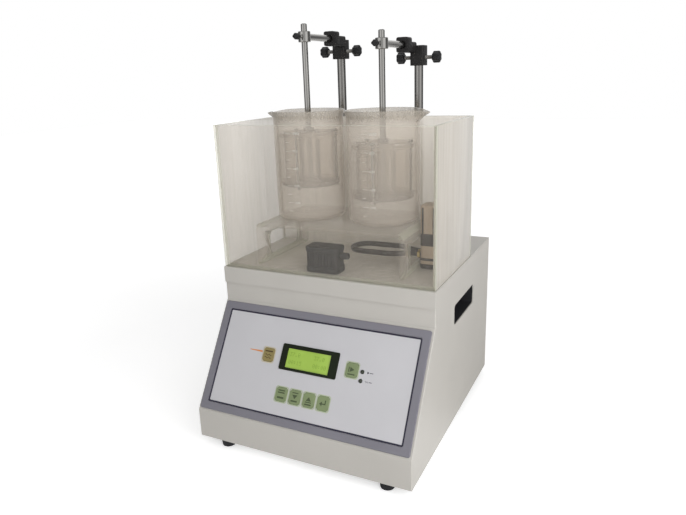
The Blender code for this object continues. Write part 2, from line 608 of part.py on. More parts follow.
def build_panel(shell):
    """Everything on the sloping face, modelled flat in the frame of that face."""
    face = bpy.data.objects.new("panel_frame", None)
    face.location = PANEL_CENTRE
    face.rotation_euler = (PANEL_TILT, 0, 0)
    bpy.context.scene.collection.objects.link(face)

    grey = material("bezel_plastic", (0.26, 0.25, 0.29), 0.5)
    outline = rounded_rectangle(BEZEL_WIDTH, BEZEL_HEIGHT, BEZEL_RADIUS)
    bezel = piece("panel_bezel", prism(outline, GAP, BEZEL_THICKNESS), grey, parent=face)
    soften(bezel, BEZEL_CHAMFER)
    inner_width = BEZEL_WIDTH - 2 * BEZEL_BORDER
    inner_height = BEZEL_HEIGHT - 2 * BEZEL_BORDER
    inside = rounded_rectangle(inner_width, inner_height, BEZEL_RADIUS)
    cut(bezel, prism(inside, -OVERRUN, BEZEL_THICKNESS + OVERRUN))

    printed = material("overlay_film", (0.56, 0.56, 0.60), 0.35)
    sheet = rounded_rectangle(inner_width - 2 * GAP, inner_height - 2 * GAP, BEZEL_RADIUS)
    overlay = piece("panel_overlay", prism(sheet, GAP, OVERLAY_THICKNESS), printed, parent=face)
    black = material("lcd_frame_black", (0.02, 0.02, 0.02), 0.4)
    cell = rounded_rectangle(LCD_WIDTH, LCD_HEIGHT, LCD_RADIUS, LCD_CENTRE, 2)
    cell_hole = rounded_rectangle(LCD_WIDTH + 2 * GAP, LCD_HEIGHT + 2 * GAP, LCD_RADIUS, LCD_CENTRE, 2)
    holes = [prism(cell_hole, -OVERRUN, OVERRUN)]
    centres = key_centres()
    for centre in centres.values():
        hole = rounded_rectangle(KEY_WIDTH + 2 * GAP, KEY_HEIGHT + 2 * GAP, KEY_RADIUS, centre, 1)
        holes.append(prism(hole, -OVERRUN, OVERRUN))
    holes += [prism(circle(LED_RADIUS + GAP, SLIM_SIDES, centre), -OVERRUN, OVERRUN) for centre in LED_CENTRES]
    cut(overlay, merged(holes))

    lcd_bezel = piece("lcd_bezel", prism(cell, -LCD_BACK, LCD_PROUD), black, parent=face)
    window = rectangle(WINDOW_WIDTH, WINDOW_HEIGHT, WINDOW_CENTRE)
    cut(lcd_bezel, prism(window, -LCD_BACK - OVERRUN, LCD_PROUD + OVERRUN))
    green = material("lcd_backlight", (0.35, 0.62, 0.07), 0.3)
    back_outline = rectangle(LCD_WIDTH, LCD_HEIGHT, LCD_CENTRE)
    module_top = -LCD_BACK - GAP
    module = piece("lcd_module", prism(back_outline, module_top - MODULE_DEPTH, module_top), green, parent=face)
    glass = rectangle(WINDOW_WIDTH - 2 * GAP, WINDOW_HEIGHT - 2 * GAP, WINDOW_CENTRE)
    fuse(module, prism(glass, module_top - EMBED, LCD_PROUD - WINDOW_RECESS))

    lens = material("led_lens", (0.05, 0.06, 0.03), 0.3)
    dome = [(0, -KEY_DEPTH), (LED_RADIUS, -KEY_DEPTH), (LED_RADIUS, OVERLAY_THICKNESS),
            (LED_RADIUS * math.cos(math.pi / 4), OVERLAY_THICKNESS + LED_PROUD * math.sin(math.pi / 4)),
            (0, OVERLAY_THICKNESS + LED_PROUD)]
    for name, centre in zip(("run_led", "heater_led"), LED_CENTRES):
        piece(name, turned(dome, SLIM_SIDES), lens, (*centre, 0), face)

    key_green = material("key_green", (0.19, 0.26, 0.09), 0.5)
    key_yellow = material("key_yellow", (0.30, 0.22, 0.07), 0.5)
    for name, centre in centres.items():
        colour = key_yellow if name == "heater_key" else key_green
        pad = rounded_rectangle(KEY_WIDTH, KEY_HEIGHT, KEY_RADIUS, steps=1)
        key = piece(name, prism(pad, -KEY_DEPTH, OVERLAY_THICKNESS + KEY_PROUD), colour, (*centre, 0), face)
        soften(key, KEY_PROUD / 2)

    low = min(centre[1] for centre in centres.values()) - KEY_HEIGHT / 2 - APERTURE_BORDER
    high = LCD_CENTRE[1] + LCD_HEIGHT / 2 + APERTURE_BORDER
    left = min(centre[0] for centre in centres.values()) - KEY_WIDTH / 2 - APERTURE_BORDER
    right = LED_CENTRES[0][0] + LED_RADIUS + APERTURE_BORDER
    opening = rectangle(right - left, high - low, ((left + right) / 2, (low + high) / 2))
    aperture = prism(opening, -OVERRUN * 2, OVERRUN)
    bmesh.ops.rotate(aperture, verts=aperture.verts, cent=(0, 0, 0), matrix=axis_turn("X", PANEL_TILT))
    cut(shell, shifted(aperture, *PANEL_CENTRE))

    laminate = material("circuit_board", (0.03, 0.16, 0.06), 0.5)
    board_top = -BOARD_DEPTH
    plate = rectangle(BOARD_WIDTH, BOARD_HEIGHT, BOARD_CENTRE)
    board = piece("control_board", prism(plate, board_top - BOARD_THICKNESS, board_top), laminate, parent=face)
    switch_top = -KEY_DEPTH - SWITCH_CLEARANCE
    parts = [prism(rectangle(SWITCH_SIZE, SWITCH_SIZE, centre), board_top - EMBED, switch_top)
             for centre in centres.values()]
    for centre in CAPACITOR_CENTRES:
        can = circle(CAPACITOR_RADIUS, SMALL_SIDES, centre)
        parts.append(prism(can, board_top - BOARD_THICKNESS - CAPACITOR_HEIGHT, board_top - EMBED))
    fuse(board, merged(parts))


def key_centres():
    """Places of the six membrane keys on the sloping face."""
    row_x, row_y = KEY_ROW_CENTRE
    names = ("menu_key", "down_key", "up_key", "enter_key")
    middle = (len(names) - 1) / 2
    centres = {name: (row_x + (index - middle) * KEY_ROW_PITCH, row_y) for index, name in enumerate(names)}
    centres["run_key"] = RUN_KEY_CENTRE
    centres["heater_key"] = HEATER_KEY_CENTRE
    return centres


def build_tank():
    acrylic = material("clear_acrylic", (0.80, 0.82, 0.76), 0.08)
    middle_y = TANK_Y + TANK_DEPTH / 2
    box = rectangle(TANK_WIDTH, TANK_DEPTH, (0, middle_y))
    tank = piece("water_tank", prism(box, TANK_Z, TANK_Z + TANK_HEIGHT), acrylic)
    bath = rectangle(2 * TANK_INNER_X, TANK_DEPTH - 2 * ACRYLIC, (0, middle_y))
    cut(tank, prism(bath, TANK_FLOOR_Z, TANK_Z + TANK_HEIGHT + OVERRUN))

    half = SHELF_WIDTH / 2
    inner = half - ACRYLIC
    bend = [(-half, FITTINGS_Z), (-half, SHELF_TOP_Z), (half, SHELF_TOP_Z), (half, FITTINGS_Z),
            (inner, FITTINGS_Z), (inner, SHELF_TOP_Z - ACRYLIC), (-inner, SHELF_TOP_Z - ACRYLIC),
            (-inner, FITTINGS_Z)]
    outline = fold_profile(bend, (1, 2), SHELF_BEND)
    shelf_front = BASKET_Y - SHELF_DEPTH / 2
    shelf = piece("beaker_shelf", prism(outline, shelf_front, shelf_front + SHELF_DEPTH, "Y"), acrylic)
    window_height = SHELF_HEIGHT - SHELF_WINDOW_SILL - SHELF_WINDOW_HEAD
    window_z = FITTINGS_Z + SHELF_WINDOW_SILL + window_height / 2
    window_length = SHELF_DEPTH - 2 * SHELF_WINDOW_MARGIN
    window = rounded_rectangle(window_length, window_height, SHELF_BEND, (BASKET_Y, window_z))
    cut(shelf, prism(window, -half - OVERRUN, half + OVERRUN, "X"))

    glass = material("borosilicate_glass", (0.86, 0.88, 0.86), 0.05)
    for name, side in STATIONS:
        piece(f"{name}_beaker", beaker(side), glass, (side * STATION_X, BASKET_Y, BEAKER_Z))


def beaker(side):
    """A low-form beaker with a flared rim; its pouring spout points away from the middle of the tank."""
    outer = BEAKER_RADIUS
    inner = BEAKER_RADIUS - BEAKER_WALL
    corner = BEAKER_CORNER
    inner_corner = BEAKER_CORNER - BEAKER_WALL / 2
    top = BEAKER_HEIGHT
    eighth = math.cos(math.pi / 4)
    profile = [(0, 0), (outer - corner, 0), (outer - corner + corner * eighth, corner - corner * eighth),
               (outer, corner), (outer, top - 2 * BEAKER_FLARE), (outer + BEAKER_FLARE, top - BEAKER_FLARE / 2),
               (outer + BEAKER_FLARE / 2, top), (inner, top - BEAKER_FLARE),
               (inner, BEAKER_BOTTOM + inner_corner),
               (inner - inner_corner + inner_corner * eighth, BEAKER_BOTTOM + inner_corner - inner_corner * eighth),
               (inner - inner_corner, BEAKER_BOTTOM), (0, BEAKER_BOTTOM)]
    mesh = turned(profile, FINE_SIDES)
    rim_start = top - SPOUT_HEIGHT
    for point in mesh.verts:
        angle = math.atan2(point.co.y, side * point.co.x)
        if abs(angle) >= SPOUT_HALF_ANGLE or point.co.z < rim_start:
            continue
        around = math.cos(math.pi / 2 * angle / SPOUT_HALF_ANGLE) ** 2
        height = (point.co.z - rim_start) / (top - rim_start)
        point.co.x += side * SPOUT_REACH * around * height
        point.co.z -= SPOUT_REACH / 4 * around * height
    return mesh


def build_bath_fittings():
    black = material("pump_housing", (0.02, 0.02, 0.02), 0.5)
    pump_y = TANK_Y + ACRYLIC + PUMP_WALL_GAP + PUMP_DEPTH / 2
    body = rounded_rectangle(PUMP_WIDTH, PUMP_DEPTH, PUMP_RADIUS, (PUMP_CENTRE_X, pump_y))
    pump = piece("circulation_pump", prism(body, FITTINGS_Z, FITTINGS_Z + PUMP_HEIGHT), black)
    soften(pump, EDGE_BEVEL * 2)
    nozzle_z = FITTINGS_Z + PUMP_NOZZLE_HEIGHT
    side = PUMP_CENTRE_X + PUMP_WIDTH / 2
    spigot = circle(PUMP_NOZZLE_RADIUS, SLIM_SIDES, (pump_y, nozzle_z))
    fuse(pump, prism(spigot, side - EMBED, side + PUMP_NOZZLE_LENGTH, "X"))

    brown = material("heater_housing", (0.16, 0.09, 0.05), 0.5)
    column = rounded_rectangle(HEATER_COLUMN_WIDTH, HEATER_COLUMN_DEPTH, HEATER_COLUMN_RADIUS)
    heater_place = (HEATER_X, BASKET_Y + HEATER_BEHIND_BASKET, FITTINGS_Z)
    heater = piece("tank_heater", prism(column, 0, HEATER_COLUMN_HEIGHT), brown, heater_place)
    soften(heater, EDGE_BEVEL * 2)
    fuse(heater, heater_loop())

    steel = material("probe_steel", (0.55, 0.55, 0.55), 0.25, 1.0)
    probe = [(0, 0), (PROBE_NUT_RADIUS, 0), (PROBE_NUT_RADIUS, PROBE_NUT_HEIGHT), (PROBE_RADIUS, PROBE_NUT_HEIGHT),
             (PROBE_RADIUS, PROBE_HEIGHT - PROBE_RADIUS), (0, PROBE_HEIGHT)]
    piece("temperature_probe", turned(probe, SMALL_SIDES), steel,
          (PROBE_X, BASKET_Y + PROBE_BEHIND_BASKET, FITTINGS_Z))


def heater_loop():
    """The hairpin element: out from the column, round a half circle, and back."""
    start = -HEATER_COLUMN_WIDTH / 4
    spread = HEATER_LOOP_WIDTH / 2
    turn_x = spread - HEATER_LOOP_LENGTH
    near = HEATER_COLUMN_DEPTH / 4
    bend_x = -HEATER_COLUMN_WIDTH
    route = [(start, -near), (bend_x, -near)]
    flared_x = turn_x + (bend_x - turn_x) * FLARE_OUT_SHARE
    half_turn = [math.pi / 2 + math.pi * index / HEATER_LOOP_STEPS for index in range(HEATER_LOOP_STEPS + 1)]
    route.append((flared_x, -spread))
    route += [(turn_x + spread * math.cos(angle), -spread * math.sin(angle)) for angle in half_turn]
    route.append((flared_x, spread))
    route += [(bend_x, near), (start, near)]
    return tube_along([Vector((x, y, HEATER_TUBE_HEIGHT)) for x, y in route], HEATER_TUBE_RADIUS, SMALL_SIDES)


def tube_along(route, radius, sides):
    """Sweep a round section along a level route, with flat ends."""
    mesh = bmesh.new()
    rings = []
    for index, here in enumerate(route):
        before = route[max(index - 1, 0)]
        after = route[min(index + 1, len(route) - 1)]
        along = (after - before).normalized()
        across = along.cross(Vector((0, 0, 1))).normalized()
        turns = [math.tau * side / sides for side in range(sides)]
        ring = [here + across * radius * math.cos(turn) + Vector((0, 0, radius * math.sin(turn))) for turn in turns]
        rings.append([mesh.verts.new(point) for point in ring])
    for first, second in zip(rings, rings[1:]):
        for side in range(sides):
            after = (side + 1) % sides
            mesh.faces.new((first[side], first[after], second[after], second[side]))
    mesh.faces.new(rings[0])
    mesh.faces.new(rings[-1])
    bmesh.ops.recalc_face_normals(mesh, faces=mesh.faces)
    return mesh


def basket_disc(name, radius, thickness, surface, place, holes):
    """A round plate of a basket with through holes, each given by its radius, its sides and its places."""
    disc = piece(name, prism(circle(radius, FINE_SIDES), 0, thickness), surface, place)
    cut(disc, merged([prism(circle(bore, sides, spot), -OVERRUN, thickness + OVERRUN)
                      for bore, sides, spots in holes for spot in spots]))
    return disc


def build_basket(name, side, rest):
    """One basket rack: six open tubes in a lower plate, an upper plate on tie bolts, the mesh and the hanging rod."""
    plate_material = bpy.data.materials["basket_plate"]
    steel = bpy.data.materials["polished_steel"]
    x = side * STATION_X
    lower = (x, BASKET_Y, LOWER_PLATE_Z + rest)
    upper = (x, BASKET_Y, UPPER_PLATE_TOP_Z - PLATE_THICKNESS + rest)
    tube_spots = ring_places(TUBE_CIRCLE, TUBE_COUNT)
    bolt_spots = ring_places(TIE_CIRCLE, TIE_COUNT, math.pi / TUBE_COUNT)
    rod = BASKET_ROD_RADIUS
    rod_hole = (rod + GAP, SLIM_SIDES, [(0, 0)])
    bolt_holes = (TIE_RADIUS + GAP, HEX_SIDES, bolt_spots)
    rack = basket_disc(f"{name}_tube_rack", PLATE_RADIUS, PLATE_THICKNESS, plate_material, lower,
                       (rod_hole, bolt_holes))
    fuse(rack, merged([prism(circle(TUBE_OUTER, ROD_SIDES, spot), EMBED, TUBE_LENGTH) for spot in tube_spots]))
    cut(rack, merged([prism(circle(TUBE_BORE, ROD_SIDES, spot), -OVERRUN, TUBE_LENGTH + OVERRUN)
                      for spot in tube_spots]))
    mesh_place = (x, BASKET_Y, MESH_Z + rest)
    basket_disc(f"{name}_mesh", PLATE_RADIUS - MESH_MARGIN, MESH_THICKNESS, steel, mesh_place, (bolt_holes,))

    plate = basket_disc(f"{name}_upper_plate", PLATE_RADIUS, PLATE_THICKNESS, plate_material, upper,
                        (rod_hole, (TUBE_OUTER + GAP, ROD_SIDES, tube_spots)))
    head = TIE_HEAD_RADIUS
    shank = TIE_RADIUS
    under = MESH_Z - GAP - upper[2] + rest
    over = PLATE_THICKNESS + TIE_HEAD_HEIGHT
    bolt = [(0, under - TIE_HEAD_HEIGHT), (head, under - TIE_HEAD_HEIGHT), (head, under), (shank, under),
            (shank, PLATE_THICKNESS - EMBED), (head, PLATE_THICKNESS - EMBED), (head, over), (0, over)]
    fuse(plate, merged([shifted(turned(bolt, HEX_SIDES), *spot) for spot in bolt_spots]))

    foot_top = PLATE_THICKNESS + GAP
    hub = TUBE_LENGTH + GAP
    top = ARM_Z + BASKET_ROD_TOP - LOWER_PLATE_Z
    profile = [(0, 0), (rod, 0), (rod, foot_top), (HUB_FOOT_RADIUS, foot_top),
               (HUB_FOOT_RADIUS, foot_top + HUB_HEIGHT), (rod, foot_top + HUB_HEIGHT), (rod, hub), (HUB_RADIUS, hub),
               (HUB_RADIUS, hub + HUB_HEIGHT), (rod, hub + HUB_HEIGHT), (rod, top - ROD_END_CHAMFER),
               (rod - ROD_END_CHAMFER, top), (0, top)]
    piece(f"{name}_basket_rod", turned(profile, SLIM_SIDES), steel, lower)


def thumbscrew(length, knob_centre, knob_length, knob_radius, shank_radius, lobes):
    """A screw along +Z from its tip, with a lobed knob at its far end."""
    tip = knob_centre + knob_length / 2 - length
    inner = knob_centre - knob_length / 2
    outer = knob_centre + knob_length / 2
    edge = knob_radius * LOBE_DEPTH_SHARE
    profile = [(0, tip), (shank_radius, tip), (shank_radius, inner), (knob_radius - edge, inner),
               (knob_radius, inner + edge), (knob_radius, outer - edge), (knob_radius - edge, outer), (0, outer)]
    mesh = turned(profile, lobes * 2)
    for point in mesh.verts:
        reach = math.hypot(point.co.x, point.co.y)
        if reach < (shank_radius + knob_radius) / 2:
            continue
        angle = math.atan2(point.co.y, point.co.x)
        inward = 1 - LOBE_DEPTH_SHARE * (1 - math.cos(lobes * angle)) / 2
        point.co.x *= inward
        point.co.y *= inward
    return mesh


def build_head(name, side, rest):
    """The clamp head on top of a drive rod, its arm, its two thumbscrews and the screw at the arm's end."""
    cast = bpy.data.materials["head_casting"]
    steel = bpy.data.materials["polished_steel"]
    x = side * DRIVE_X
    inward = side * (STATION_X - DRIVE_X)
    z = HEAD_Z + rest
    half = HEAD_WIDTH / 2
    socket_end = -SOCKET_REACH
    socket_back = socket_end + SOCKET_LENGTH
    block = rounded_rectangle(HEAD_WIDTH, HEAD_WIDTH, HEAD_ROUND, steps=2)
    head = piece(f"{name}_boss_head", prism(block, -HEAD_HEIGHT / 2, HEAD_HEIGHT / 2), cast, (x, DRIVE_Y, z))
    soften(head, EDGE_BEVEL)
    socket = rounded_rectangle(SOCKET_WIDTH, SOCKET_HEIGHT, HEAD_ROUND, (inward, HEAD_BELOW_ARM), 2)
    neck_z = HEAD_HEIGHT / 2 - HEAD_ROUND
    neck = rounded_rectangle(NECK_WIDTH, NECK_HEIGHT, HEAD_ROUND, (inward, neck_z), 2)
    fuse(head, prism(neck, socket_back - EMBED, -half + EMBED, "Y"))
    fuse(head, prism(socket, socket_end, socket_back, "Y"))
    bore = circle(DRIVE_ROD_RADIUS + GAP, ROD_SIDES)
    tapping = circle(SCREW_RADIUS + GAP, SMALL_SIDES, (0, -SCREW_BELOW_CENTRE))
    arm_bore = circle(ARM_RADIUS + GAP, SLIM_SIDES, (inward, HEAD_BELOW_ARM))
    arm_root = socket_end + SOCKET_BORE_DEPTH
    cut(head, prism(bore, -HEAD_HEIGHT, HEAD_HEIGHT))
    cut(head, prism(tapping, -HEAD_WIDTH, HEAD_WIDTH, "X"))
    cut(head, prism(arm_bore, socket_end - OVERRUN, arm_root, "Y"))

    reach = DRIVE_Y - BASKET_Y
    arm_place = (side * STATION_X, BASKET_Y, ARM_Z + rest)
    collar = circle(COLLAR_RADIUS, ROD_SIDES)
    arm = piece(f"{name}_arm", prism(collar, -COLLAR_HEIGHT / 2, COLLAR_HEIGHT / 2), steel, arm_place)
    bar = circle(ARM_RADIUS, SLIM_SIDES)
    fuse(arm, prism(bar, COLLAR_RADIUS / 2, reach + arm_root - GAP, "Y"))
    cut(arm, prism(circle(BASKET_ROD_RADIUS + GAP, SLIM_SIDES), -COLLAR_HEIGHT, COLLAR_HEIGHT))
    cut(arm, prism(circle(ARM_SCREW_RADIUS + GAP, SMALL_SIDES), -COLLAR_RADIUS - OVERRUN, 0, "Y"))

    knob = bpy.data.materials["knob_black"]
    shank = SCREW_KNOB_CENTRE + SCREW_KNOB_LENGTH / 2 - DRIVE_ROD_RADIUS - GAP
    for label, turn in (("inner", -side), ("outer", side)):
        screw = thumbscrew(shank, SCREW_KNOB_CENTRE, SCREW_KNOB_LENGTH, SCREW_KNOB_RADIUS, SCREW_RADIUS, SCREW_LOBES)
        bmesh.ops.transform(screw, matrix=axis_turn("Y", turn * math.pi / 2), verts=screw.verts)
        piece(f"{name}_{label}_thumbscrew", screw, knob, (x, DRIVE_Y, z - SCREW_BELOW_CENTRE))
    shank = ARM_KNOB_END - BASKET_ROD_RADIUS - GAP
    centre = ARM_KNOB_END - ARM_KNOB_LENGTH / 2
    screw = thumbscrew(shank, centre, ARM_KNOB_LENGTH, ARM_KNOB_RADIUS, ARM_SCREW_RADIUS, ARM_SCREW_LOBES)
    bmesh.ops.transform(screw, matrix=axis_turn("X", math.pi / 2), verts=screw.verts)
    piece(f"{name}_arm_screw", screw, knob, arm_place)


def build_station(name, side):
    rest = -side * REST_OFFSET
    steel = bpy.data.materials["polished_steel"]
    x = side * DRIVE_X
    yoke_z = CRANK_Z + rest
    rod = DRIVE_ROD_RADIUS
    low = -ROD_BELOW_YOKE
    high = ROD_TOP_Z - CRANK_Z
    profile = [(0, low), (rod - ROD_END_CHAMFER, low), (rod, low + ROD_END_CHAMFER), (rod, high - ROD_END_CHAMFER),
               (rod - ROD_END_CHAMFER, high), (0, high)]
    piece(f"{name}_drive_rod", turned(profile, ROD_SIDES), steel, (x, DRIVE_Y, yoke_z))

    block = rounded_rectangle(YOKE_BLOCK, YOKE_BLOCK, YOKE_RADIUS, steps=2)
    yoke = piece(f"{name}_yoke", prism(block, -YOKE_HEIGHT / 2, YOKE_HEIGHT / 2),
                 bpy.data.materials["yoke_brass"], (x, DRIVE_Y, yoke_z))
    near = side * (YOKE_PLATE_X - DRIVE_X)
    far = side * (YOKE_FACE_X - DRIVE_X)
    plate = rounded_rectangle(YOKE_LENGTH, YOKE_HEIGHT, YOKE_RADIUS, steps=2)
    fuse(yoke, prism(plate, near, far, "X"))
    slot_length = 2 * CRANK_THROW + YOKE_SLOT_HEIGHT
    slot = rounded_rectangle(slot_length, YOKE_SLOT_HEIGHT, CRANK_PIN_RADIUS)
    cut(yoke, prism(slot, far - side * OVERRUN, near - side * EMBED / 2, "X"))
    cut(yoke, prism(circle(rod + GAP, ROD_SIDES), -YOKE_HEIGHT, YOKE_HEIGHT))
    build_head(name, side, rest)
    build_basket(name, side, rest)


def build_drive():
    """The geared motor in its cradle, the double crank and the guides of the two drive rods."""
    dark = material("motor_paint", (0.05, 0.05, 0.06), 0.5, 0.3)
    shaft_hole = prism(circle(SHAFT_RADIUS + GAP, SLIM_SIDES), -MOTOR_END_X - OVERRUN, MOTOR_END_X + OVERRUN, "X")
    barrel = prism(circle(MOTOR_RADIUS, DISC_SIDES), -MOTOR_END_X, MOTOR_END_X, "X")
    motor = piece("gear_motor", barrel, dark, (0, DRIVE_Y, CRANK_Z))
    case = rounded_rectangle(GEARBOX_SIZE, GEARBOX_SIZE, YOKE_RADIUS, (0, GEARBOX_RISE))
    fuse(motor, prism(case, GAP - CHEEK_SPACING / 2, CHEEK_SPACING / 2 - GAP, "X"))
    cut(motor, shaft_hole)

    crank = bpy.data.materials["polished_steel"]
    angle = math.asin(REST_OFFSET / CRANK_THROW)
    shaft = prism(circle(SHAFT_RADIUS, SLIM_SIDES), -DISC_INNER_X - EMBED, DISC_INNER_X + EMBED, "X")
    crankshaft = piece("crankshaft", shaft, crank, (0, DRIVE_Y, CRANK_Z))
    for name, side in STATIONS:
        spot = (-side * CRANK_THROW * math.cos(angle), -side * CRANK_THROW * math.sin(angle))
        disc = circle(CRANK_DISC_RADIUS, DISC_SIDES)
        pin = circle(CRANK_PIN_RADIUS, SLIM_SIDES, spot)
        fuse(crankshaft, prism(disc, side * DISC_INNER_X, side * DISC_OUTER_X, "X"))
        fuse(crankshaft, prism(pin, side * (DISC_OUTER_X - EMBED), side * PIN_END_X, "X"))

    folded = bpy.data.materials["zinc_plated_steel"]
    reach = DRIVE_X + BRIDGE_MARGIN
    under = BRIDGE_Z - BRIDGE_THICKNESS
    foot = BASE_TOP_Z + GAP
    leg = reach - BRIDGE_THICKNESS
    arch = [(-reach, foot), (-reach, BRIDGE_Z), (reach, BRIDGE_Z), (reach, foot), (leg, foot), (leg, under),
            (-leg, under), (-leg, foot)]
    outline = fold_profile(arch, (1, 2), BRIDGE_BEND)
    front = DRIVE_Y - BRIDGE_DEPTH / 2
    bracket = piece("drive_bracket", prism(outline, front, front + BRIDGE_DEPTH, "Y"), folded)
    cheek_foot = BRIDGE_Z - EMBED
    cheek = rectangle(CHEEK_WIDTH, CRANK_Z - cheek_foot, (DRIVE_Y, (CRANK_Z + cheek_foot) / 2))
    cheeks = [prism(cheek, side * CHEEK_SPACING / 2, side * (CHEEK_SPACING / 2 + CHEEK_THICKNESS), "X")
              for name, side in STATIONS]
    centres = [(side * DRIVE_X, DRIVE_Y) for name, side in STATIONS]
    guides = [prism(circle(LOWER_GUIDE_RADIUS, SLIM_SIDES, centre), cheek_foot, BRIDGE_Z + LOWER_GUIDE_HEIGHT)
              for centre in centres]
    fuse(bracket, merged(cheeks))
    fuse(bracket, merged(guides))
    cradle = circle(MOTOR_RADIUS + GAP, DISC_SIDES, (DRIVE_Y, CRANK_Z))
    bores = [prism(circle(DRIVE_ROD_RADIUS + GAP, SLIM_SIDES, centre), under - OVERRUN,
                   BRIDGE_Z + LOWER_GUIDE_HEIGHT + OVERRUN) for centre in centres]
    cut(bracket, prism(cradle, -MOTOR_END_X, MOTOR_END_X, "X"))
    cut(bracket, merged(bores))

    bronze = material("guide_bronze", (0.42, 0.28, 0.12), 0.35, 1.0)
    sleeve = BUSH_SLEEVE_RADIUS
    bore = DRIVE_ROD_RADIUS + GAP
    seat = TOP_Z + GAP
    profile = [(bore, TOP_Z - BUSH_SLEEVE_LENGTH), (sleeve, TOP_Z - BUSH_SLEEVE_LENGTH), (sleeve, seat),
               (BUSH_FLANGE_RADIUS, seat), (BUSH_FLANGE_RADIUS, seat + BUSH_FLANGE_HEIGHT / 2),
               (BUSH_FLANGE_RADIUS - BUSH_FLANGE_HEIGHT / 2, seat + BUSH_FLANGE_HEIGHT),
               (bore, seat + BUSH_FLANGE_HEIGHT)]
    for name, side in STATIONS:
        piece(f"{name}_guide_bush", turned(profile, ROD_SIDES), bronze, (side * DRIVE_X, DRIVE_Y, 0))


def build_electrics():
    core = material("transformer_core", (0.10, 0.08, 0.07), 0.6)
    centre_x = TRANSFORMER_SIDE_GAP + TRANSFORMER_WIDTH / 2 - INNER_X
    place = (centre_x, FRONT_Y + TRANSFORMER_FROM_FRONT, BASE_TOP_Z + GAP)
    stack = rectangle(TRANSFORMER_WIDTH, TRANSFORMER_DEPTH - 2 * BOBBIN_PROUD)
    transformer = piece("power_transformer", prism(stack, 0, TRANSFORMER_HEIGHT), core, place)
    bobbin = rounded_rectangle(TRANSFORMER_WIDTH - 2 * BOBBIN_INSET, TRANSFORMER_DEPTH, BOBBIN_RADIUS)
    fuse(transformer, prism(bobbin, BOBBIN_INSET, TRANSFORMER_HEIGHT - BOBBIN_INSET))

    black = material("inlet_plastic", (0.02, 0.02, 0.02), 0.5)
    plate = rounded_rectangle(INLET_WIDTH + 2 * INLET_BORDER, INLET_HEIGHT + 2 * INLET_BORDER, INLET_RADIUS)
    inlet = piece("power_inlet", prism(plate, 0, INLET_FLANGE, "Y"), black, INLET_PLACE)
    body = rectangle(INLET_WIDTH, INLET_HEIGHT)
    fuse(inlet, prism(body, -INLET_DEPTH, INLET_FLANGE / 2, "Y"))
    drawer = rectangle(DRAWER_WIDTH, DRAWER_HEIGHT, (0, DRAWER_OFFSET))
    fuse(inlet, prism(drawer, 0, INLET_FLANGE + DRAWER_PROUD, "Y"))
    pocket = rectangle(SOCKET_RECESS_WIDTH, SOCKET_RECESS_HEIGHT, (0, SOCKET_OFFSET))
    pocket_floor = INLET_FLANGE - SOCKET_RECESS_DEPTH
    cut(inlet, prism(pocket, pocket_floor, INLET_FLANGE + OVERRUN, "Y"))
    rocker_hole = rectangle(ROCKER_WIDTH + 2 * ROCKER_CLEARANCE, ROCKER_HEIGHT + 2 * ROCKER_CLEARANCE,
                            (0, ROCKER_OFFSET))
    cut(inlet, prism(rocker_hole, -ROCKER_WELL, INLET_FLANGE + OVERRUN, "Y"))
    blade_end = INLET_FLANGE - BLADE_SHORTFALL
    blades = [prism(rectangle(BLADE_WIDTH, BLADE_HEIGHT, (index * BLADE_SPACING, SOCKET_OFFSET)),
                    pocket_floor - EMBED, blade_end, "Y") for index in (-1, 0, 1)]
    fuse(inlet, merged(blades))

    half = ROCKER_HEIGHT / 2
    proud = ROCKER_PROUD
    slope = math.tan(ROCKER_TILT) * half
    outline = [(-ROCKER_BACK, -half / 2), (proud - 2 * slope, -half), (0, 0), (proud, half),
               (-ROCKER_BACK, half / 2)]
    rocker_place = (INLET_PLACE[0], INLET_PLACE[1] + INLET_FLANGE, INLET_PLACE[2] + ROCKER_OFFSET)
    rocker = piece("power_rocker", prism(outline, -ROCKER_WIDTH / 2, ROCKER_WIDTH / 2, "X"), black, rocker_place)
    soften(rocker, GAP)


def main():
    for item in list(bpy.data.objects):
        bpy.data.objects.remove(item, do_unlink=True)
    material("polished_steel", (0.55, 0.54, 0.52), 0.2, 1.0)
    material("basket_plate", (0.62, 0.62, 0.60), 0.3)
    material("knob_black", (0.02, 0.02, 0.02), 0.5)
    material("yoke_brass", (0.55, 0.42, 0.18), 0.35, 1.0)
    material("head_casting", (0.02, 0.02, 0.022), 0.45, 0.2)
    shell = build_cabinet()
    build_grips()
    build_panel(shell)
    build_tank()
    build_bath_fittings()
    for name, side in STATIONS:
        build_station(name, side)
    build_drive()
    build_electrics()


main()
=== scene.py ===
import math

import bmesh
import bpy
from mathutils import Matrix, Vector


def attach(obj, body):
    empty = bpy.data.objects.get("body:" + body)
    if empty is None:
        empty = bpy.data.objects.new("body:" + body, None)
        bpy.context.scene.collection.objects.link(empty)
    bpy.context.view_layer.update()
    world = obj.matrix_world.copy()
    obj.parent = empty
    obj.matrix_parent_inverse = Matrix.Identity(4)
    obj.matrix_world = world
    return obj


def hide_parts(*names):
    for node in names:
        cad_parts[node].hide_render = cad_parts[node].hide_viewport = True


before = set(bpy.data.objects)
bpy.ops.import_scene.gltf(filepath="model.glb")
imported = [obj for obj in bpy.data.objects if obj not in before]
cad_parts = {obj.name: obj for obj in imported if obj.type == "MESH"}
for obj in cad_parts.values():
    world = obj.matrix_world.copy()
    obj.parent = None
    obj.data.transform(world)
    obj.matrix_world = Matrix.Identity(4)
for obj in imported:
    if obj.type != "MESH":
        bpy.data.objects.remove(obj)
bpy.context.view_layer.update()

# Sizes of the solids that the pieces follow, in metres
GAP = 0.0003
ACRYLIC = 0.005
PANEL_TILT = math.radians(57.2)
FACE_LENGTH = 0.1742
LIP_HEIGHT = 0.0445
BAND_HEIGHT = 0.0521
FOOT_HEIGHT = 0.013
REAR_PROUD = 0.0053
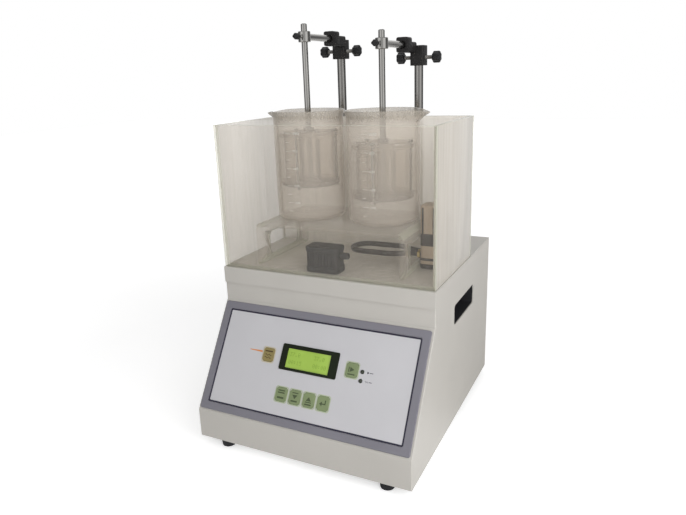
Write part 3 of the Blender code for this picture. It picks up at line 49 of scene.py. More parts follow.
TANK_X = 0.169
TANK_STEP = 0.0007
TANK_DEPTH = 0.178
TANK_HEIGHT = 0.2145
TANK_FLOOR = 0.004
SHELF_HEIGHT = 0.064
BASKET_FROM_TANK_FRONT = 0.0908
STATION_X = 0.0605
DRIVE_X = 0.0675
DRIVE_BEHIND_TANK = 0.0468
DRIVE_TO_BACK = 0.074
REST_OFFSET = 0.0075
MESH_ABOVE_BEAKER_FOOT = 0.0425
MESH_THICKNESS = 0.0012
PLATE_THICKNESS = 0.0065
TUBE_LENGTH = 0.0775
ARM_ABOVE_COVER = 0.3258
HEAD_BELOW_ARM = 0.015
SCREW_BELOW_CENTRE = 0.003

# Places that follow from them
STATIONS = (("left", -1), ("right", 1))
PANEL_SETBACK = FACE_LENGTH * math.cos(PANEL_TILT)
PANEL_RISE = FACE_LENGTH * math.sin(PANEL_TILT)
CABINET_DEPTH = PANEL_SETBACK + TANK_STEP + TANK_DEPTH + DRIVE_BEHIND_TANK + DRIVE_TO_BACK
FRONT_Y = -(CABINET_DEPTH + REAR_PROUD) / 2
BACK_Y = FRONT_Y + CABINET_DEPTH
BOTTOM_Z = FOOT_HEIGHT
LIP_Z = BOTTOM_Z + LIP_HEIGHT
TOP_Z = LIP_Z + PANEL_RISE + BAND_HEIGHT
PANEL_CENTRE = (0, FRONT_Y + PANEL_SETBACK / 2, LIP_Z + PANEL_RISE / 2)
PANEL = Matrix.Translation(PANEL_CENTRE) @ Matrix.Rotation(PANEL_TILT, 4, "X")
TANK_Y = FRONT_Y + PANEL_SETBACK + TANK_STEP
TANK_BACK_Y = TANK_Y + TANK_DEPTH
TANK_Z = TOP_Z + GAP
TANK_TOP_Z = TANK_Z + TANK_HEIGHT
FLOOR_Z = TANK_Z + TANK_FLOOR
FITTINGS_Z = FLOOR_Z + GAP
SHELF_TOP_Z = FITTINGS_Z + SHELF_HEIGHT
BASKET_Y = TANK_Y + BASKET_FROM_TANK_FRONT
DRIVE_Y = TANK_BACK_Y + DRIVE_BEHIND_TANK
BEAKER_Z = SHELF_TOP_Z + GAP
MESH_Z = BEAKER_Z + MESH_ABOVE_BEAKER_FOOT
LOWER_Z = MESH_Z + MESH_THICKNESS + GAP
UPPER_Z = LOWER_Z + TUBE_LENGTH - PLATE_THICKNESS
ARM_Z = TOP_Z + ARM_ABOVE_COVER
HEAD_Z = ARM_Z - HEAD_BELOW_ARM
SCREW_Z = HEAD_Z - SCREW_BELOW_CENTRE


# What all the materials share: scales of their noise, and limits of gloss and reflection
DRIFT_SCALE = 14
FILM_SCALE = 6
SMOOTHEST = 0.02
GLANCING_SHARE = 0.9
EDGE_TINT_FACING = (0.05, 0.75)


def feed(tree, node, inputs):
    """Set a node's inputs, each to a constant or to the socket that feeds it."""
    for name, value in inputs.items():
        if isinstance(value, bpy.types.NodeSocket):
            tree.links.new(value, node.inputs[name])
        else:
            node.inputs[name].default_value = value


def add(tree, kind, inputs, **settings):
    node = tree.nodes.new("ShaderNode" + kind)
    for name, value in settings.items():
        setattr(node, name, value)
    feed(tree, node, inputs)
    return node


def new_material(name):
    made = bpy.data.materials.new(name)
    made.use_nodes = True
    return made, made.node_tree, made.node_tree.nodes["Principled BSDF"]


def object_place(tree):
    return add(tree, "TexCoord", {}).outputs["Object"]


def noise(tree, scale, detail, roughness=0.5, stretch=None):
    """Object-space noise, so that the pattern keeps its real size."""
    where = object_place(tree)
    if stretch:
        where = add(tree, "Mapping", {"Vector": where, "Scale": stretch}).outputs["Vector"]
    inputs = {"Vector": where, "Scale": scale, "Detail": detail, "Roughness": roughness}
    return add(tree, "TexNoise", inputs).outputs["Fac"]


def ramp(tree, source, stops):
    made = add(tree, "ValToRGB", {"Fac": source})
    for element, (place, colour) in zip(made.color_ramp.elements, (stops[0], stops[-1])):
        element.position = place
        element.color = (*colour, 1)
    for place, colour in stops[1:-1]:
        made.color_ramp.elements.new(place).color = (*colour, 1)
    return made.outputs["Color"]


def spread(tree, source, low, high, start=0.0, end=1.0):
    """A value from low to high as the source goes from start to end."""
    inputs = {"Value": source, "From Min": start, "From Max": end, "To Min": low, "To Max": high}
    return add(tree, "MapRange", inputs).outputs["Result"]


def calculate(tree, operation, *values, clamp=False):
    inputs = dict(enumerate(values))
    return add(tree, "Math", inputs, operation=operation, use_clamp=clamp).outputs["Value"]


def vector_math(tree, operation, *values, output="Vector"):
    inputs = dict(enumerate(values))
    return add(tree, "VectorMath", inputs, operation=operation).outputs[output]


def shade(colour, amount):
    return tuple(min(1.0, max(0.0, c * amount)) for c in colour)


def solid(name, colour, roughness, metallic=0.0, mottle=0.1, grain=0.0, grain_scale=900,
          stretch=None, rough_swing=0.06, grain_depth=0.0002, specular=0.5):
    """A surface with large-scale colour drift, small-scale grain and a drift in its gloss."""
    made, tree, shader = new_material(name)
    stops = [(0.3, shade(colour, 1 - mottle)), (0.7, shade(colour, 1 + mottle))]
    drift = ramp(tree, noise(tree, DRIFT_SCALE, 4), stops)
    fine = noise(tree, grain_scale, 2, 0.6, stretch)
    smooth = max(SMOOTHEST, roughness - rough_swing)
    gloss = spread(tree, fine, smooth, roughness + rough_swing)
    feed(tree, shader, {"Base Color": drift, "Roughness": gloss, "Metallic": metallic,
                        "Specular IOR Level": specular})
    if grain:
        dents = add(tree, "Bump", {"Strength": grain, "Distance": grain_depth, "Height": fine})
        feed(tree, shader, {"Normal": dents.outputs["Normal"]})
    return made


def clear(name, tint, haze, haze_colour, ior, gloss=0.04, streaks=0.1,
          streak_scale=(60, 60, 2), edge_tint=None, rim_band=None, mirror=None):
    """A clear wall: what is behind shows through a film of haze and a reflection.

    The reflection grows at a glancing view; mirror is its share head-on. edge_tint is what
    the wall lets through edge-on. rim_band is a band of heights, its added haze and haze colour.
    """
    made, tree, shader = new_material(name)
    feed(tree, shader, {"Base Color": (*haze_colour, 1), "Roughness": gloss, "IOR": ior})
    facing = add(tree, "LayerWeight", {"Blend": 0.5}).outputs["Facing"]
    passed = (*tint, 1)
    if edge_tint:
        depth = calculate(tree, "POWER", facing, 3)
        passed = ramp(tree, depth, list(zip(EDGE_TINT_FACING, (tint, edge_tint))))
    through = add(tree, "BsdfTransparent", {"Color": passed})
    steep = calculate(tree, "POWER", facing, 5)
    reflected = spread(tree, steep, mirror or ((ior - 1) / (ior + 1)) ** 2, GLANCING_SHARE)
    film = noise(tree, FILM_SCALE, 3, stretch=streak_scale)
    veil = spread(tree, film, max(0.0, haze - streaks), haze + streaks)
    if rim_band:
        low, high, added, rim_band_colour = rim_band
        height = add(tree, "SeparateXYZ", {"Vector": object_place(tree)}).outputs["Z"]
        band = spread(tree, height, 0.0, 1.0, low, high)
        feed(tree, shader, {"Base Color": ramp(tree, band, [(0, haze_colour), (1, rim_band_colour)])})
        veil = calculate(tree, "MULTIPLY_ADD", band, added, veil)
    share = calculate(tree, "ADD", reflected, veil, clamp=True)
    mix = add(tree, "MixShader",
              {"Fac": share, 1: through.outputs["BSDF"], 2: shader.outputs["BSDF"]})
    feed(tree, tree.nodes["Material Output"], {"Surface": mix.outputs["Shader"]})
    return made


def link(thing):
    bpy.context.scene.collection.objects.link(thing)
    return thing


def piece(name, bm, material, body, replaces=(), smooth=35, matrix=None):
    """Finish a bmesh as a named piece that rides on a body."""
    if matrix is not None:
        bm.transform(matrix)
    bmesh.ops.recalc_face_normals(bm, faces=bm.faces)
    data = bpy.data.meshes.new(name)
    bm.to_mesh(data)
    bm.free()
    data.materials.append(material)
    data.shade_smooth()
    data.set_sharp_from_angle(angle=math.radians(smooth))
    made = link(bpy.data.objects.new(name, data))
    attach(made, body)
    if replaces:
        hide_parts(*replaces)
    return made


def lathe(profile, steps):
    """A turned shape from (radius, height) points; a profile off the axis closes on itself."""
    bm = bmesh.new()
    points = [bm.verts.new((radius, 0, z)) for radius, z in profile]
    edges = [bm.edges.new(pair) for pair in zip(points, points[1:])]
    if not (profile[0][0] == 0 and profile[-1][0] == 0):
        edges.append(bm.edges.new((points[-1], points[0])))
    bmesh.ops.spin(bm, geom=points + edges, cent=(0, 0, 0), axis=(0, 0, 1), angle=math.tau,
                   steps=steps)
    bmesh.ops.remove_doubles(bm, verts=bm.verts, dist=1e-6)
    return bm


def join(parts):
    whole = bmesh.new()
    for part in parts:
        data = bpy.data.meshes.new("part")
        part.to_mesh(data)
        part.free()
        whole.from_mesh(data)
        bpy.data.meshes.remove(data)
    return whole


def at(x, y, z=0.0):
    return Matrix.Translation((x, y, z))


def rotate(axis, angle):
    return Matrix.Rotation(angle, 4, axis)


def placed(bm, matrix):
    bm.transform(matrix)
    return bm


def slab(x0, x1, y0, y1, z0, z1, bevel):
    """A box with rounded edges."""
    bm = bmesh.new()
    bmesh.ops.create_cube(bm, size=1)
    bmesh.ops.scale(bm, vec=(x1 - x0, y1 - y0, z1 - z0), verts=bm.verts)
    bmesh.ops.translate(bm, vec=((x0 + x1) / 2, (y0 + y1) / 2, (z0 + z1) / 2), verts=bm.verts)
    bmesh.ops.bevel(bm, geom=bm.edges[:], offset=bevel, segments=2, affect="EDGES", profile=0.5)
    return bm


def swept(route, radius, sides):
    """A round section along a route of points."""
    bm = bmesh.new()
    turns = [math.tau * k / sides for k in range(sides)]
    rings = []
    for index, here in enumerate(route):
        before = route[max(index - 1, 0)]
        after = route[min(index + 1, len(route) - 1)]
        along = (after - before).normalized()
        across = along.cross(Vector((0, 0, 1))).normalized()
        lift = across.cross(along).normalized()
        rings.append([bm.verts.new(here + radius * (across * math.cos(t) + lift * math.sin(t)))
                      for t in turns])
    for a, b in zip(rings, rings[1:]):
        for k in range(sides):
            n = (k + 1) % sides
            bm.faces.new((a[k], a[n], b[n], b[k]))
    bm.faces.new(rings[0])
    bm.faces.new(rings[-1])
    return bm


def arc(x, y, radius, start, end, steps):
    """Points along an arc; start and end are in quarter turns."""
    turns = [math.pi / 2 * (start + (end - start) * k / steps) for k in range(steps + 1)]
    return [(x + radius * math.cos(t), y + radius * math.sin(t)) for t in turns]


def rounded_rect(width, height, radius, across=0.0, up=0.0, steps=6):
    """Outline of a rectangle with round corners."""
    points = []
    for quarter, (sx, sy) in enumerate(((1, 1), (-1, 1), (-1, -1), (1, -1))):
        x = across + sx * (width / 2 - radius)
        y = up + sy * (height / 2 - radius)
        points += arc(x, y, radius, quarter, quarter + 1, steps)
    return points


def ring(radius, steps, across=0.0, up=0.0):
    """Outline of a circle."""
    return arc(across, up, radius, 0, 4, steps)[:-1]


def plate(outlines, low, high, bevel=0.0):
    """A flat plate between two heights; outlines inside the first one are holes."""
    curve = bpy.data.curves.new("outline", "CURVE")
    curve.dimensions = "2D"
    curve.fill_mode = "BOTH"
    curve.extrude = (high - low) / 2 - bevel
    curve.bevel_depth = bevel
    curve.bevel_resolution = 2
    curve.offset = -bevel
    for points in outlines:
        spline = curve.splines.new("POLY")
        spline.points.add(len(points) - 1)
        for target, (x, y) in zip(spline.points, points):
            target.co = (x, y, 0, 1)
        spline.use_cyclic_u = True
    holder = link(bpy.data.objects.new("outline", curve))
    bpy.context.view_layer.update()
    bm = bmesh.new()
    bm.from_mesh(holder.to_mesh())
    holder.to_mesh_clear()
    bpy.data.objects.remove(holder)
    bpy.data.curves.remove(curve)
    bmesh.ops.remove_doubles(bm, verts=bm.verts, dist=2e-6)
    bmesh.ops.translate(bm, vec=(0, 0, (low + high) / 2), verts=bm.verts)
    return bm


def lobed(profile, lobes, depth, limit):
    """A turned shape whose points beyond a radius are drawn in between its lobes."""
    bm = lathe(profile, 72)
    for point in bm.verts:
        if math.hypot(point.co.x, point.co.y) > limit:
            turn = lobes * math.atan2(point.co.y, point.co.x)
            inward = 1 - depth * (1 - math.cos(turn)) / 2
            point.co.x *= inward
            point.co.y *= inward
    return bm


def threaded(radius, start, end, pitch, depth):
    """Profile of a threaded shank as rings of crests and roots."""
    points = [(0, start), (radius - depth, start)]
    turns = round((end - start) / pitch)
    step = (end - start) / turns
    for turn in range(turns):
        low = start + step * turn
        points += [(radius, low + step * 0.4), (radius, low + step * 0.6),
                   (radius - depth, low + step)]
    return points + [(0, end)]


# Materials
paint = solid("cabinet_powder_coat", (0.50, 0.48, 0.445), 0.46, grain=0.16, grain_scale=1400,
              mottle=0.02, grain_depth=0.0001)
plated = solid("zinc_plated_sheet", (0.52, 0.52, 0.50), 0.38, 0.9, mottle=0.12, grain=0.05)
rubber = solid("foot_rubber", (0.02, 0.02, 0.022), 0.7, grain=0.3, mottle=0.2, specular=0.3)
moulded = solid("black_moulding", (0.02, 0.02, 0.022), 0.5, grain=0.25, grain_scale=2200,
                mottle=0.15, specular=0.3)
bezel_grey = solid("bezel_plastic", (0.19, 0.185, 0.213), 0.5, grain=0.15, grain_scale=1800,
                   mottle=0.04)
film_grey = solid("overlay_film", (0.53, 0.525, 0.545), 0.4, grain=0.12, grain_scale=2600,
                  mottle=0.02)
lcd_black = solid("lcd_frame", (0.012, 0.016, 0.008), 0.5, grain=0.1, mottle=0.2, specular=0.15)
key_green = solid("key_green", (0.195, 0.245, 0.12), 0.5, grain=0.15, grain_scale=2600,
                  mottle=0.08)
key_surround = solid("key_surround", (0.40, 0.45, 0.31), 0.5, grain=0.12, grain_scale=2600,
                     mottle=0.05)
key_ochre = solid("key_ochre", (0.25, 0.20, 0.075), 0.5, grain=0.15, grain_scale=2600)
key_cream = solid("key_cream", (0.50, 0.45, 0.33), 0.5, grain=0.12, grain_scale=2600, mottle=0.05)
glyph_dark = solid("glyph_dark", (0.055, 0.075, 0.035), 0.5)
glyph_brown = solid("glyph_brown", (0.055, 0.03, 0.008), 0.5)
# Dark ink for the lamp marks; the same dark paints the shadow line round the overlay
ink_and_shadow_dark = solid("dark_print_and_painted_shadow_line", (0.02, 0.018, 0.04), 0.45)
line_orange = solid("printed_orange", (0.60, 0.22, 0.05), 0.45)
lcd_ink = solid("display_ink", (0.17, 0.30, 0.03), 0.5)
led_dark = solid("led_lens", (0.035, 0.04, 0.03), 0.18, rough_swing=0.02)
board_green = solid("circuit_board", (0.03, 0.16, 0.06), 0.42, mottle=0.15, grain=0.1)
core_dark = solid("transformer_core", (0.10, 0.08, 0.07), 0.6, 0.3, mottle=0.2, grain=0.3,
                  stretch=(1, 1, 30))
motor_dark = solid("motor_paint", (0.05, 0.05, 0.06), 0.45, 0.3, mottle=0.15, grain=0.2)
steel = solid("polished_steel", (0.52, 0.51, 0.49), 0.16, 1.0, mottle=0.05, grain=0.04,
              grain_scale=700, stretch=(1, 1, 0.05), rough_swing=0.05)
# Darker than the polished steel, so that the drive rods show dimmer reflections: painted shade
steel_painted_dark = solid("drive_rod_steel_painted_dark", (0.38, 0.37, 0.355), 0.2, 1.0, mottle=0.06, grain=0.05,
                     grain_scale=700, stretch=(1, 1, 0.05), rough_swing=0.05)
steel_dull = solid("turned_steel", (0.50, 0.49, 0.47), 0.3, 1.0, mottle=0.08, grain=0.06)
wire_steel = solid("wire_cloth_steel", (0.45, 0.45, 0.44), 0.32, 1.0)
screw_steel = solid("screw_steel", (0.45, 0.44, 0.42), 0.33, 1.0)
brass = solid("yoke_brass", (0.55, 0.42, 0.18), 0.3, 1.0, mottle=0.08, grain=0.05)
bronze = solid("guide_bronze", (0.40, 0.27, 0.12), 0.34, 1.0, mottle=0.12, grain=0.1)
anodised = solid("head_anodised", (0.022, 0.021, 0.021), 0.45, 0.2, mottle=0.15, grain=0.12,
                 grain_scale=2200, specular=0.25)
knob_black = solid("knob_black", (0.016, 0.016, 0.017), 0.45, mottle=0.15, grain=0.2,
                   grain_scale=2200, specular=0.3)
heater_brown = solid("heater_housing", (0.48, 0.38, 0.28), 0.45, mottle=0.25, grain=0.2,
                     grain_scale=1200)
element_dark = solid("heater_element", (0.035, 0.027, 0.024), 0.45, 0.3, mottle=0.3, grain=0.15)
white_print = solid("white_print", (0.70, 0.70, 0.67), 0.5, mottle=0.03)
acrylic = clear("clear_acrylic", (0.988, 0.982, 0.972), 0.055, (0.66, 0.625, 0.57), 1.3,
                streaks=0.03)
acrylic_milky = clear("milky_acrylic", (0.98, 0.975, 0.965), 0.42, (0.67, 0.635, 0.585), 1.3,
                      0.15, streak_scale=(24, 24, 1))
# The back wall's haze is painted much lighter than the side walls', to make up for the shade the
# beakers and front wall cast on it
acrylic_back_painted_bright = clear("milky_acrylic_painted_bright", (0.98, 0.975, 0.965), 0.64, (0.93, 0.89, 0.825), 1.3,
                     0.15, streak_scale=(24, 24, 1))
# The floor's haze is a light colour painted in to lift the shade on the cover seen through it
acrylic_floor_painted_bright = clear("floor_acrylic_painted_bright", (0.985, 0.98, 0.97), 0.32, (0.88, 0.84, 0.77), 1.3,
                      0.2, streak_scale=(20, 20, 20))
acrylic_edge = clear("acrylic_edge", (0.92, 0.92, 0.87), 0.40, (0.66, 0.66, 0.57), 1.3, 0.12,
                     streaks=0.05)
# The glass's haze colour is painted lighter low in the tank, to make up for the shade of the tank
# walls, and turns to a darker grey in a band at the height of the tank's top edge
glass = clear("beaker_glass", (0.985, 0.976, 0.964), 0.11, (0.84, 0.79, 0.73), 1.4, 0.07,
              streaks=0.08, streak_scale=(40, 40, 1.2), edge_tint=(0.90, 0.88, 0.86),
              mirror=0.06,
              rim_band=(TANK_TOP_Z - 0.010, TANK_TOP_Z + 0.006, 0.26, (0.50, 0.46, 0.40)))
plate_clear = clear("basket_plate", (0.92, 0.905, 0.885), 0.16, (0.66, 0.62, 0.57), 1.35, 0.15,
                    streaks=0.03)
tube_clear = clear("basket_tube", (0.988, 0.980, 0.970), 0.035, (0.78, 0.74, 0.69), 1.35, 0.08,
                   streaks=0.030, streak_scale=(60, 60, 1.2), edge_tint=(0.42, 0.40, 0.38),
                   mirror=0.06)
lcd_green, tree, shader = new_material("lcd_backlight")
lit = [(0.25, (0.30, 0.46, 0.06)), (0.75, (0.36, 0.54, 0.085))]
feed(tree, shader, {"Base Color": ramp(tree, noise(tree, 30, 2), lit), "Roughness": 0.3})

CAD_MATERIALS = {
    paint: ("cabinet_shell", "top_cover", "rear_panel"),
    plated: ("base_plate", "drive_bracket"),
    rubber: ("front_left_foot", "front_right_foot", "rear_left_foot", "rear_right_foot"),
    moulded: ("left_hand_grip", "right_hand_grip", "power_inlet", "power_rocker"),
    bezel_grey: ("panel_bezel",),
    film_grey: ("panel_overlay",),
    lcd_black: ("lcd_bezel",),
    lcd_green: ("lcd_module",),
    led_dark: ("run_led", "heater_led"),
    key_green: ("menu_key", "down_key", "up_key", "enter_key", "run_key"),
    key_ochre: ("heater_key",),
    board_green: ("control_board",),
    core_dark: ("power_transformer",),
    motor_dark: ("gear_motor",),
    steel_dull: ("crankshaft",),
    brass: ("left_yoke", "right_yoke"),
    bronze: ("left_guide_bush", "right_guide_bush"),
}
for material, names in CAD_MATERIALS.items():
    for name in names:
        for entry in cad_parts[name].material_slots:
            entry.material = material


def edged(made, share):
    """Give the faces under a share of the largest one the look of a sawn, polished edge."""
    made.data.materials.append(acrylic_edge)
    largest = max(face.area for face in made.data.polygons)
    for face in made.data.polygons:
        if face.area < share * largest:
            face.material_index = 1


# Prints on the sloping panel and a painted shadow line round its overlay, each an ink's thickness
# proud of what it lies on
INK = 0.00006
SHADOW_LINE_OUTER = (0.3112, 0.1432, 0.0022)
SHADOW_LINE_INNER = (0.3066, 0.1386, 0.0012)
KEY_RING_OUTER = (0.0216, 0.0236, 0.0038)
KEY_RING_INNER = (0.0186, 0.0206, 0.0028)
KEY_ROW_Y = -0.0398
KEYS = (("menu", -0.03625, KEY_ROW_Y), ("down", -0.01375, KEY_ROW_Y), ("up", 0.00875, KEY_ROW_Y),
        ("enter", 0.03125, KEY_ROW_Y), ("run", 0.0640, 0.0126), ("heater", -0.0717, 0.0120))
LAMP_MARK_X = 0.0885
LAMP_ROWS = (0.0129, 0.0004)


def panel_top(node):
    """Height of a node's outer face in the panel's own frame."""
    flat = PANEL.inverted()
    return max((flat @ point.co).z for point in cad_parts[node].data.vertices)


def flat_marks(name, groups, material, body, height):
    """Flat prints and painted shade lines; the later outlines of a group are holes in its first."""
    marks = join([plate(group, height + INK / 4, height + INK) for group in groups])
    piece(name, marks, material, body, matrix=PANEL)


def bar_mark(x, y, width, height):
    return [rounded_rect(width, height, min(width, height) * 0.35, x, y, 3)]


def wave_mark(x, y, width, height, thick):
    """A thin line with two waves."""
    steps = 24
    line = [(x - width / 2 + width * k / steps, y + height / 2 * math.sin(math.tau * 2 * k / steps))
            for k in range(steps + 1)]
    return [[(a, b + thick / 2) for a, b in line] + [(a, b - thick / 2) for a, b in line[::-1]]]


def moved(points, x, y):
    return [(a + x, b + y) for a, b in points]


film_top = panel_top("panel_overlay")
# The dark line round the overlay is painted shadow, where the gap between bezel and overlay falls
# in shade
shadow_gap_outline = [rounded_rect(*SHADOW_LINE_OUTER), rounded_rect(*SHADOW_LINE_INNER)]
flat_marks("painted_shadow_gap", [shadow_gap_outline], ink_and_shadow_dark, "root", film_top)
surrounds = [[rounded_rect(*KEY_RING_OUTER, x, y), rounded_rect(*KEY_RING_INNER, x, y)]
             for name, x, y in KEYS]
flat_marks("key_surrounds", surrounds[:-1], key_surround, "root", film_top)
flat_marks("heater_key_surround", surrounds[-1:], key_cream, "root", film_top)

# Marks on the keys, from each key's centre
DOWN = [(-0.0042, 0.0032), (0.0042, 0.0032), (0, -0.0026)]
UP = [(-0.0042, -0.0012), (0, 0.0046), (0.0042, -0.0012)]
PLAY = [(-0.0026, 0.0042), (0.0038, 0.0006), (-0.0026, -0.0030)]
RETURN = [(0.0046, 0.0048), (0.0030, 0.0048), (0.0030, 0.0000), (-0.0012, 0.0000),
          (-0.0012, 0.0026), (-0.0052, -0.0008), (-0.0012, -0.0042), (-0.0012, -0.0016),
          (0.0046, -0.0016)]
GLYPHS = {
    "menu": [bar_mark(0, 0.0056, 0.0110, 0.0018), bar_mark(0, 0.0024, 0.0110, 0.0018),
             bar_mark(0, -0.0046, 0.0110, 0.0026)],
    "down": [[DOWN], bar_mark(0, 0.0060, 0.0100, 0.0014), bar_mark(0, -0.0056, 0.0104, 0.0022)],
    "up": [[UP], bar_mark(0, -0.0030, 0.0100, 0.0014), bar_mark(0, -0.0062, 0.0104, 0.0020)],
    "enter": [[RETURN]],
    "run": [[PLAY], bar_mark(-0.0044, 0.0006, 0.0014, 0.0072),
            bar_mark(0, -0.0060, 0.0110, 0.0018)],
    "heater": [bar_mark(0, 0.0052, 0.0130, 0.0020), wave_mark(0, -0.0002, 0.0104, 0.0018, 0.0011),
               wave_mark(0, -0.0042, 0.0104, 0.0018, 0.0011)],
}
for name, x, y in KEYS:
    groups = [[moved(points, x, y) for points in group] for group in GLYPHS[name]]
    ink, slot = (glyph_brown, "key_yellow") if name == "heater" else (glyph_dark, "key_green")
    flat_marks(f"{name}_key_mark", groups, ink, f"{name}_key_pad", panel_top(f"{name}_key"))
dash = [(-0.1050, 0.0160), (-0.0832, 0.0166), (-0.0832, 0.0140), (-0.1050, 0.0150)]
flat_marks("heater_dash", [[dash]], line_orange, "root", film_top)
arrow = [(-0.0014, 0.0018), (0.0018, 0), (-0.0014, -0.0018)]
lamp_marks = [[moved(arrow, LAMP_MARK_X, LAMP_ROWS[0])],
              bar_mark(LAMP_MARK_X + 0.0050, LAMP_ROWS[0], 0.0050, 0.0009),
              wave_mark(LAMP_MARK_X, LAMP_ROWS[1], 0.0046, 0.0014, 0.0008),
              bar_mark(LAMP_MARK_X + 0.0055, LAMP_ROWS[1], 0.0044, 0.0009)]
flat_marks("lamp_marks", lamp_marks, ink_and_shadow_dark, "root", film_top)

# Plain numbers drawn as dots: seven rows of five bits for each sign
DIGITS = {
    "0": (14, 17, 19, 21, 25, 17, 14), "1": (4, 12, 4, 4, 4, 4, 14),
    "2": (14, 17, 1, 2, 4, 8, 31), "3": (31, 2, 4, 2, 1, 17, 14),
    "4": (2, 6, 10, 18, 31, 2, 2), "5": (31, 16, 30, 1, 1, 17, 14),
    "6": (6, 8, 16, 30, 17, 17, 14), "7": (31, 1, 2, 4, 8, 8, 8),
    "8": (14, 17, 17, 14, 17, 17, 14), ":": (0, 12, 12, 0, 12, 12, 0),
    ".": (0, 0, 0, 0, 0, 12, 12), " ": (0, 0, 0, 0, 0, 0, 0),
}


def dots(sign):
    """The column and the row of each dot of a sign."""
    return [(column, row) for row, bits in enumerate(DIGITS[sign]) for column in range(5)
            if bits >> (4 - column) & 1]


# The display's window
READINGS = ("37.0     37.0", "00:15    00:00")
READING_LEFT = -0.0366
READING_TOP = 0.0218
SIGN_PITCH = 0.0044
READING_PITCH = 0.0112
DOT = 0.00066
DOT_WIDTH = DOT * 0.86
DOT_ROW_PITCH = DOT * 1.25

cells = []
for row, words in enumerate(READINGS):
    for column, sign in enumerate(words):
        for across, down in dots(sign):
            x = READING_LEFT + column * SIGN_PITCH + across * DOT
            y = READING_TOP - row * READING_PITCH - down * DOT_ROW_PITCH
            cells.append([[(x, y), (x + DOT_WIDTH, y), (x + DOT_WIDTH, y - DOT), (x, y - DOT)]])
flat_marks("display_numbers", cells, lcd_ink, "root", panel_top("lcd_module"))

# The water tank: four walls and a floor, glued edge to edge
GLUE = 0.00004
SHEET_ROUND = 0.0005
inner_x = TANK_X - ACRYLIC
between = (TANK_Y + ACRYLIC + GLUE, TANK_BACK_Y - ACRYLIC - GLUE)
tall = (TANK_Z, TANK_TOP_Z)
WALLS = (
    ("tank_front_wall", acrylic, (-TANK_X, TANK_X, TANK_Y, TANK_Y + ACRYLIC, *tall)),
    ("tank_back_wall", acrylic_back_painted_bright, (-TANK_X, TANK_X, TANK_BACK_Y - ACRYLIC, TANK_BACK_Y, *tall)),
    ("tank_left_wall", acrylic_milky, (-TANK_X, -inner_x, *between, *tall)),
    ("tank_right_wall", acrylic_milky, (inner_x, TANK_X, *between, *tall)),
    ("tank_floor", acrylic_floor_painted_bright, (GLUE - inner_x, inner_x - GLUE, *between, TANK_Z, FLOOR_Z)),
)
for name, look, box in WALLS:
    wall = slab(*box, SHEET_ROUND)
    edged(piece(name, wall, look, "root", ("water_tank",)), 0.3)

# The bridge-shaped shelf that carries the beakers, with a window in each leg
SHELF_X = 0.118
SHELF_HALF_DEPTH = 0.075
SHELF_BEND = 0.008
WINDOW = (0.090, 0.036, 0.008)
WINDOW_HEIGHT = 0.026
OVERCUT = 0.01
SIDEWAYS = Matrix(((0, 0, 1, 0), (1, 0, 0, 0), (0, 1, 0, 0), (0, 0, 0, 1)))

bend_x = SHELF_X - SHELF_BEND
bend_z = SHELF_TOP_Z - SHELF_BEND
inside_bend = SHELF_BEND - ACRYLIC
profile = [(-SHELF_X, FITTINGS_Z)]
profile += arc(-bend_x, bend_z, SHELF_BEND, 2, 1, 8) + arc(bend_x, bend_z, SHELF_BEND, 1, 0, 8)
profile += [(SHELF_X, FITTINGS_Z), (SHELF_X - ACRYLIC, FITTINGS_Z)]
profile += arc(bend_x, bend_z, inside_bend, 0, 1, 8) + arc(-bend_x, bend_z, inside_bend, 1, 2, 8)
profile += [(ACRYLIC - SHELF_X, FITTINGS_Z)]
shelf_mesh = bmesh.new()
ends = [[shelf_mesh.verts.new((x, y, z)) for x, z in profile]
        for y in (BASKET_Y - SHELF_HALF_DEPTH, BASKET_Y + SHELF_HALF_DEPTH)]
shelf_mesh.faces.new(ends[0])
shelf_mesh.faces.new(ends[1])
for k, spot in enumerate(ends[0]):
    after = (k + 1) % len(profile)
    shelf_mesh.faces.new((spot, ends[0][after], ends[1][after], ends[1][k]))
shelf = piece("shelf_sheet", shelf_mesh, acrylic, "root", ("beaker_shelf",))
window = rounded_rect(*WINDOW, BASKET_Y, FITTINGS_Z + WINDOW_HEIGHT)
cutter_mesh = placed(plate([window], -SHELF_X - OVERCUT, SHELF_X + OVERCUT), SIDEWAYS)
cutter_data = bpy.data.meshes.new("window_cutter")
cutter_mesh.to_mesh(cutter_data)
cutter_mesh.free()
cutter = link(bpy.data.objects.new("window_cutter", cutter_data))
opening = shelf.modifiers.new("windows", "BOOLEAN")
opening.object = cutter
opening.solver = "EXACT"
bpy.context.view_layer.update()
opened = shelf.evaluated_get(bpy.context.evaluated_depsgraph_get())
shelf_data = bpy.data.meshes.new_from_object(opened)
shelf.modifiers.remove(opening)
shelf.data = shelf_data
bpy.data.objects.remove(cutter)
edged(shelf, 0.05)

# A low-form beaker with a rolled rim, a pouring spout and an enamel scale
BEAKER_RADIUS = 0.0525
BEAKER_BORE = 0.0501
BEAKER_HEIGHT = 0.161
BEAKER_BOTTOM = 0.004
BEAKER_CORNER = 0.008
INNER_CORNER = 0.0068
WALL_HEIGHTS = [0.03, 0.06, 0.09, 0.12] + [0.141 + 0.00125 * k for k in range(10)]
RIM = ((0.0008, -0.0062), (0.0019, -0.0035), (0.0025, -0.0013), (0.0020, -0.0003), (0.0010, 0.0),
       (0.0, -0.0006), (-0.0017, -0.0030), (-0.0024, -0.0065))
SPOUT_HEIGHT = 0.018
SPOUT_REACH = 0.016
SPOUT_DROP = 0.004
SPOUT_HALF_ANGLE = math.radians(24)
MARK_VOLUME = 0.0001
MARK_LEFT = -0.0110
MARK_HEIGHT = 0.0005
MARK_PITCH = 0.0020
MARK_WIDTH = 0.00196
NUMBER_LEFT = 0.0006
NUMBER_RISE = 0.0012
NUMBER_PITCH = 0.0029
SMALL_DOT = 0.00045
SMALL_DOT_PITCH = 0.00046
ENAMEL = (0.00003, 0.00010)


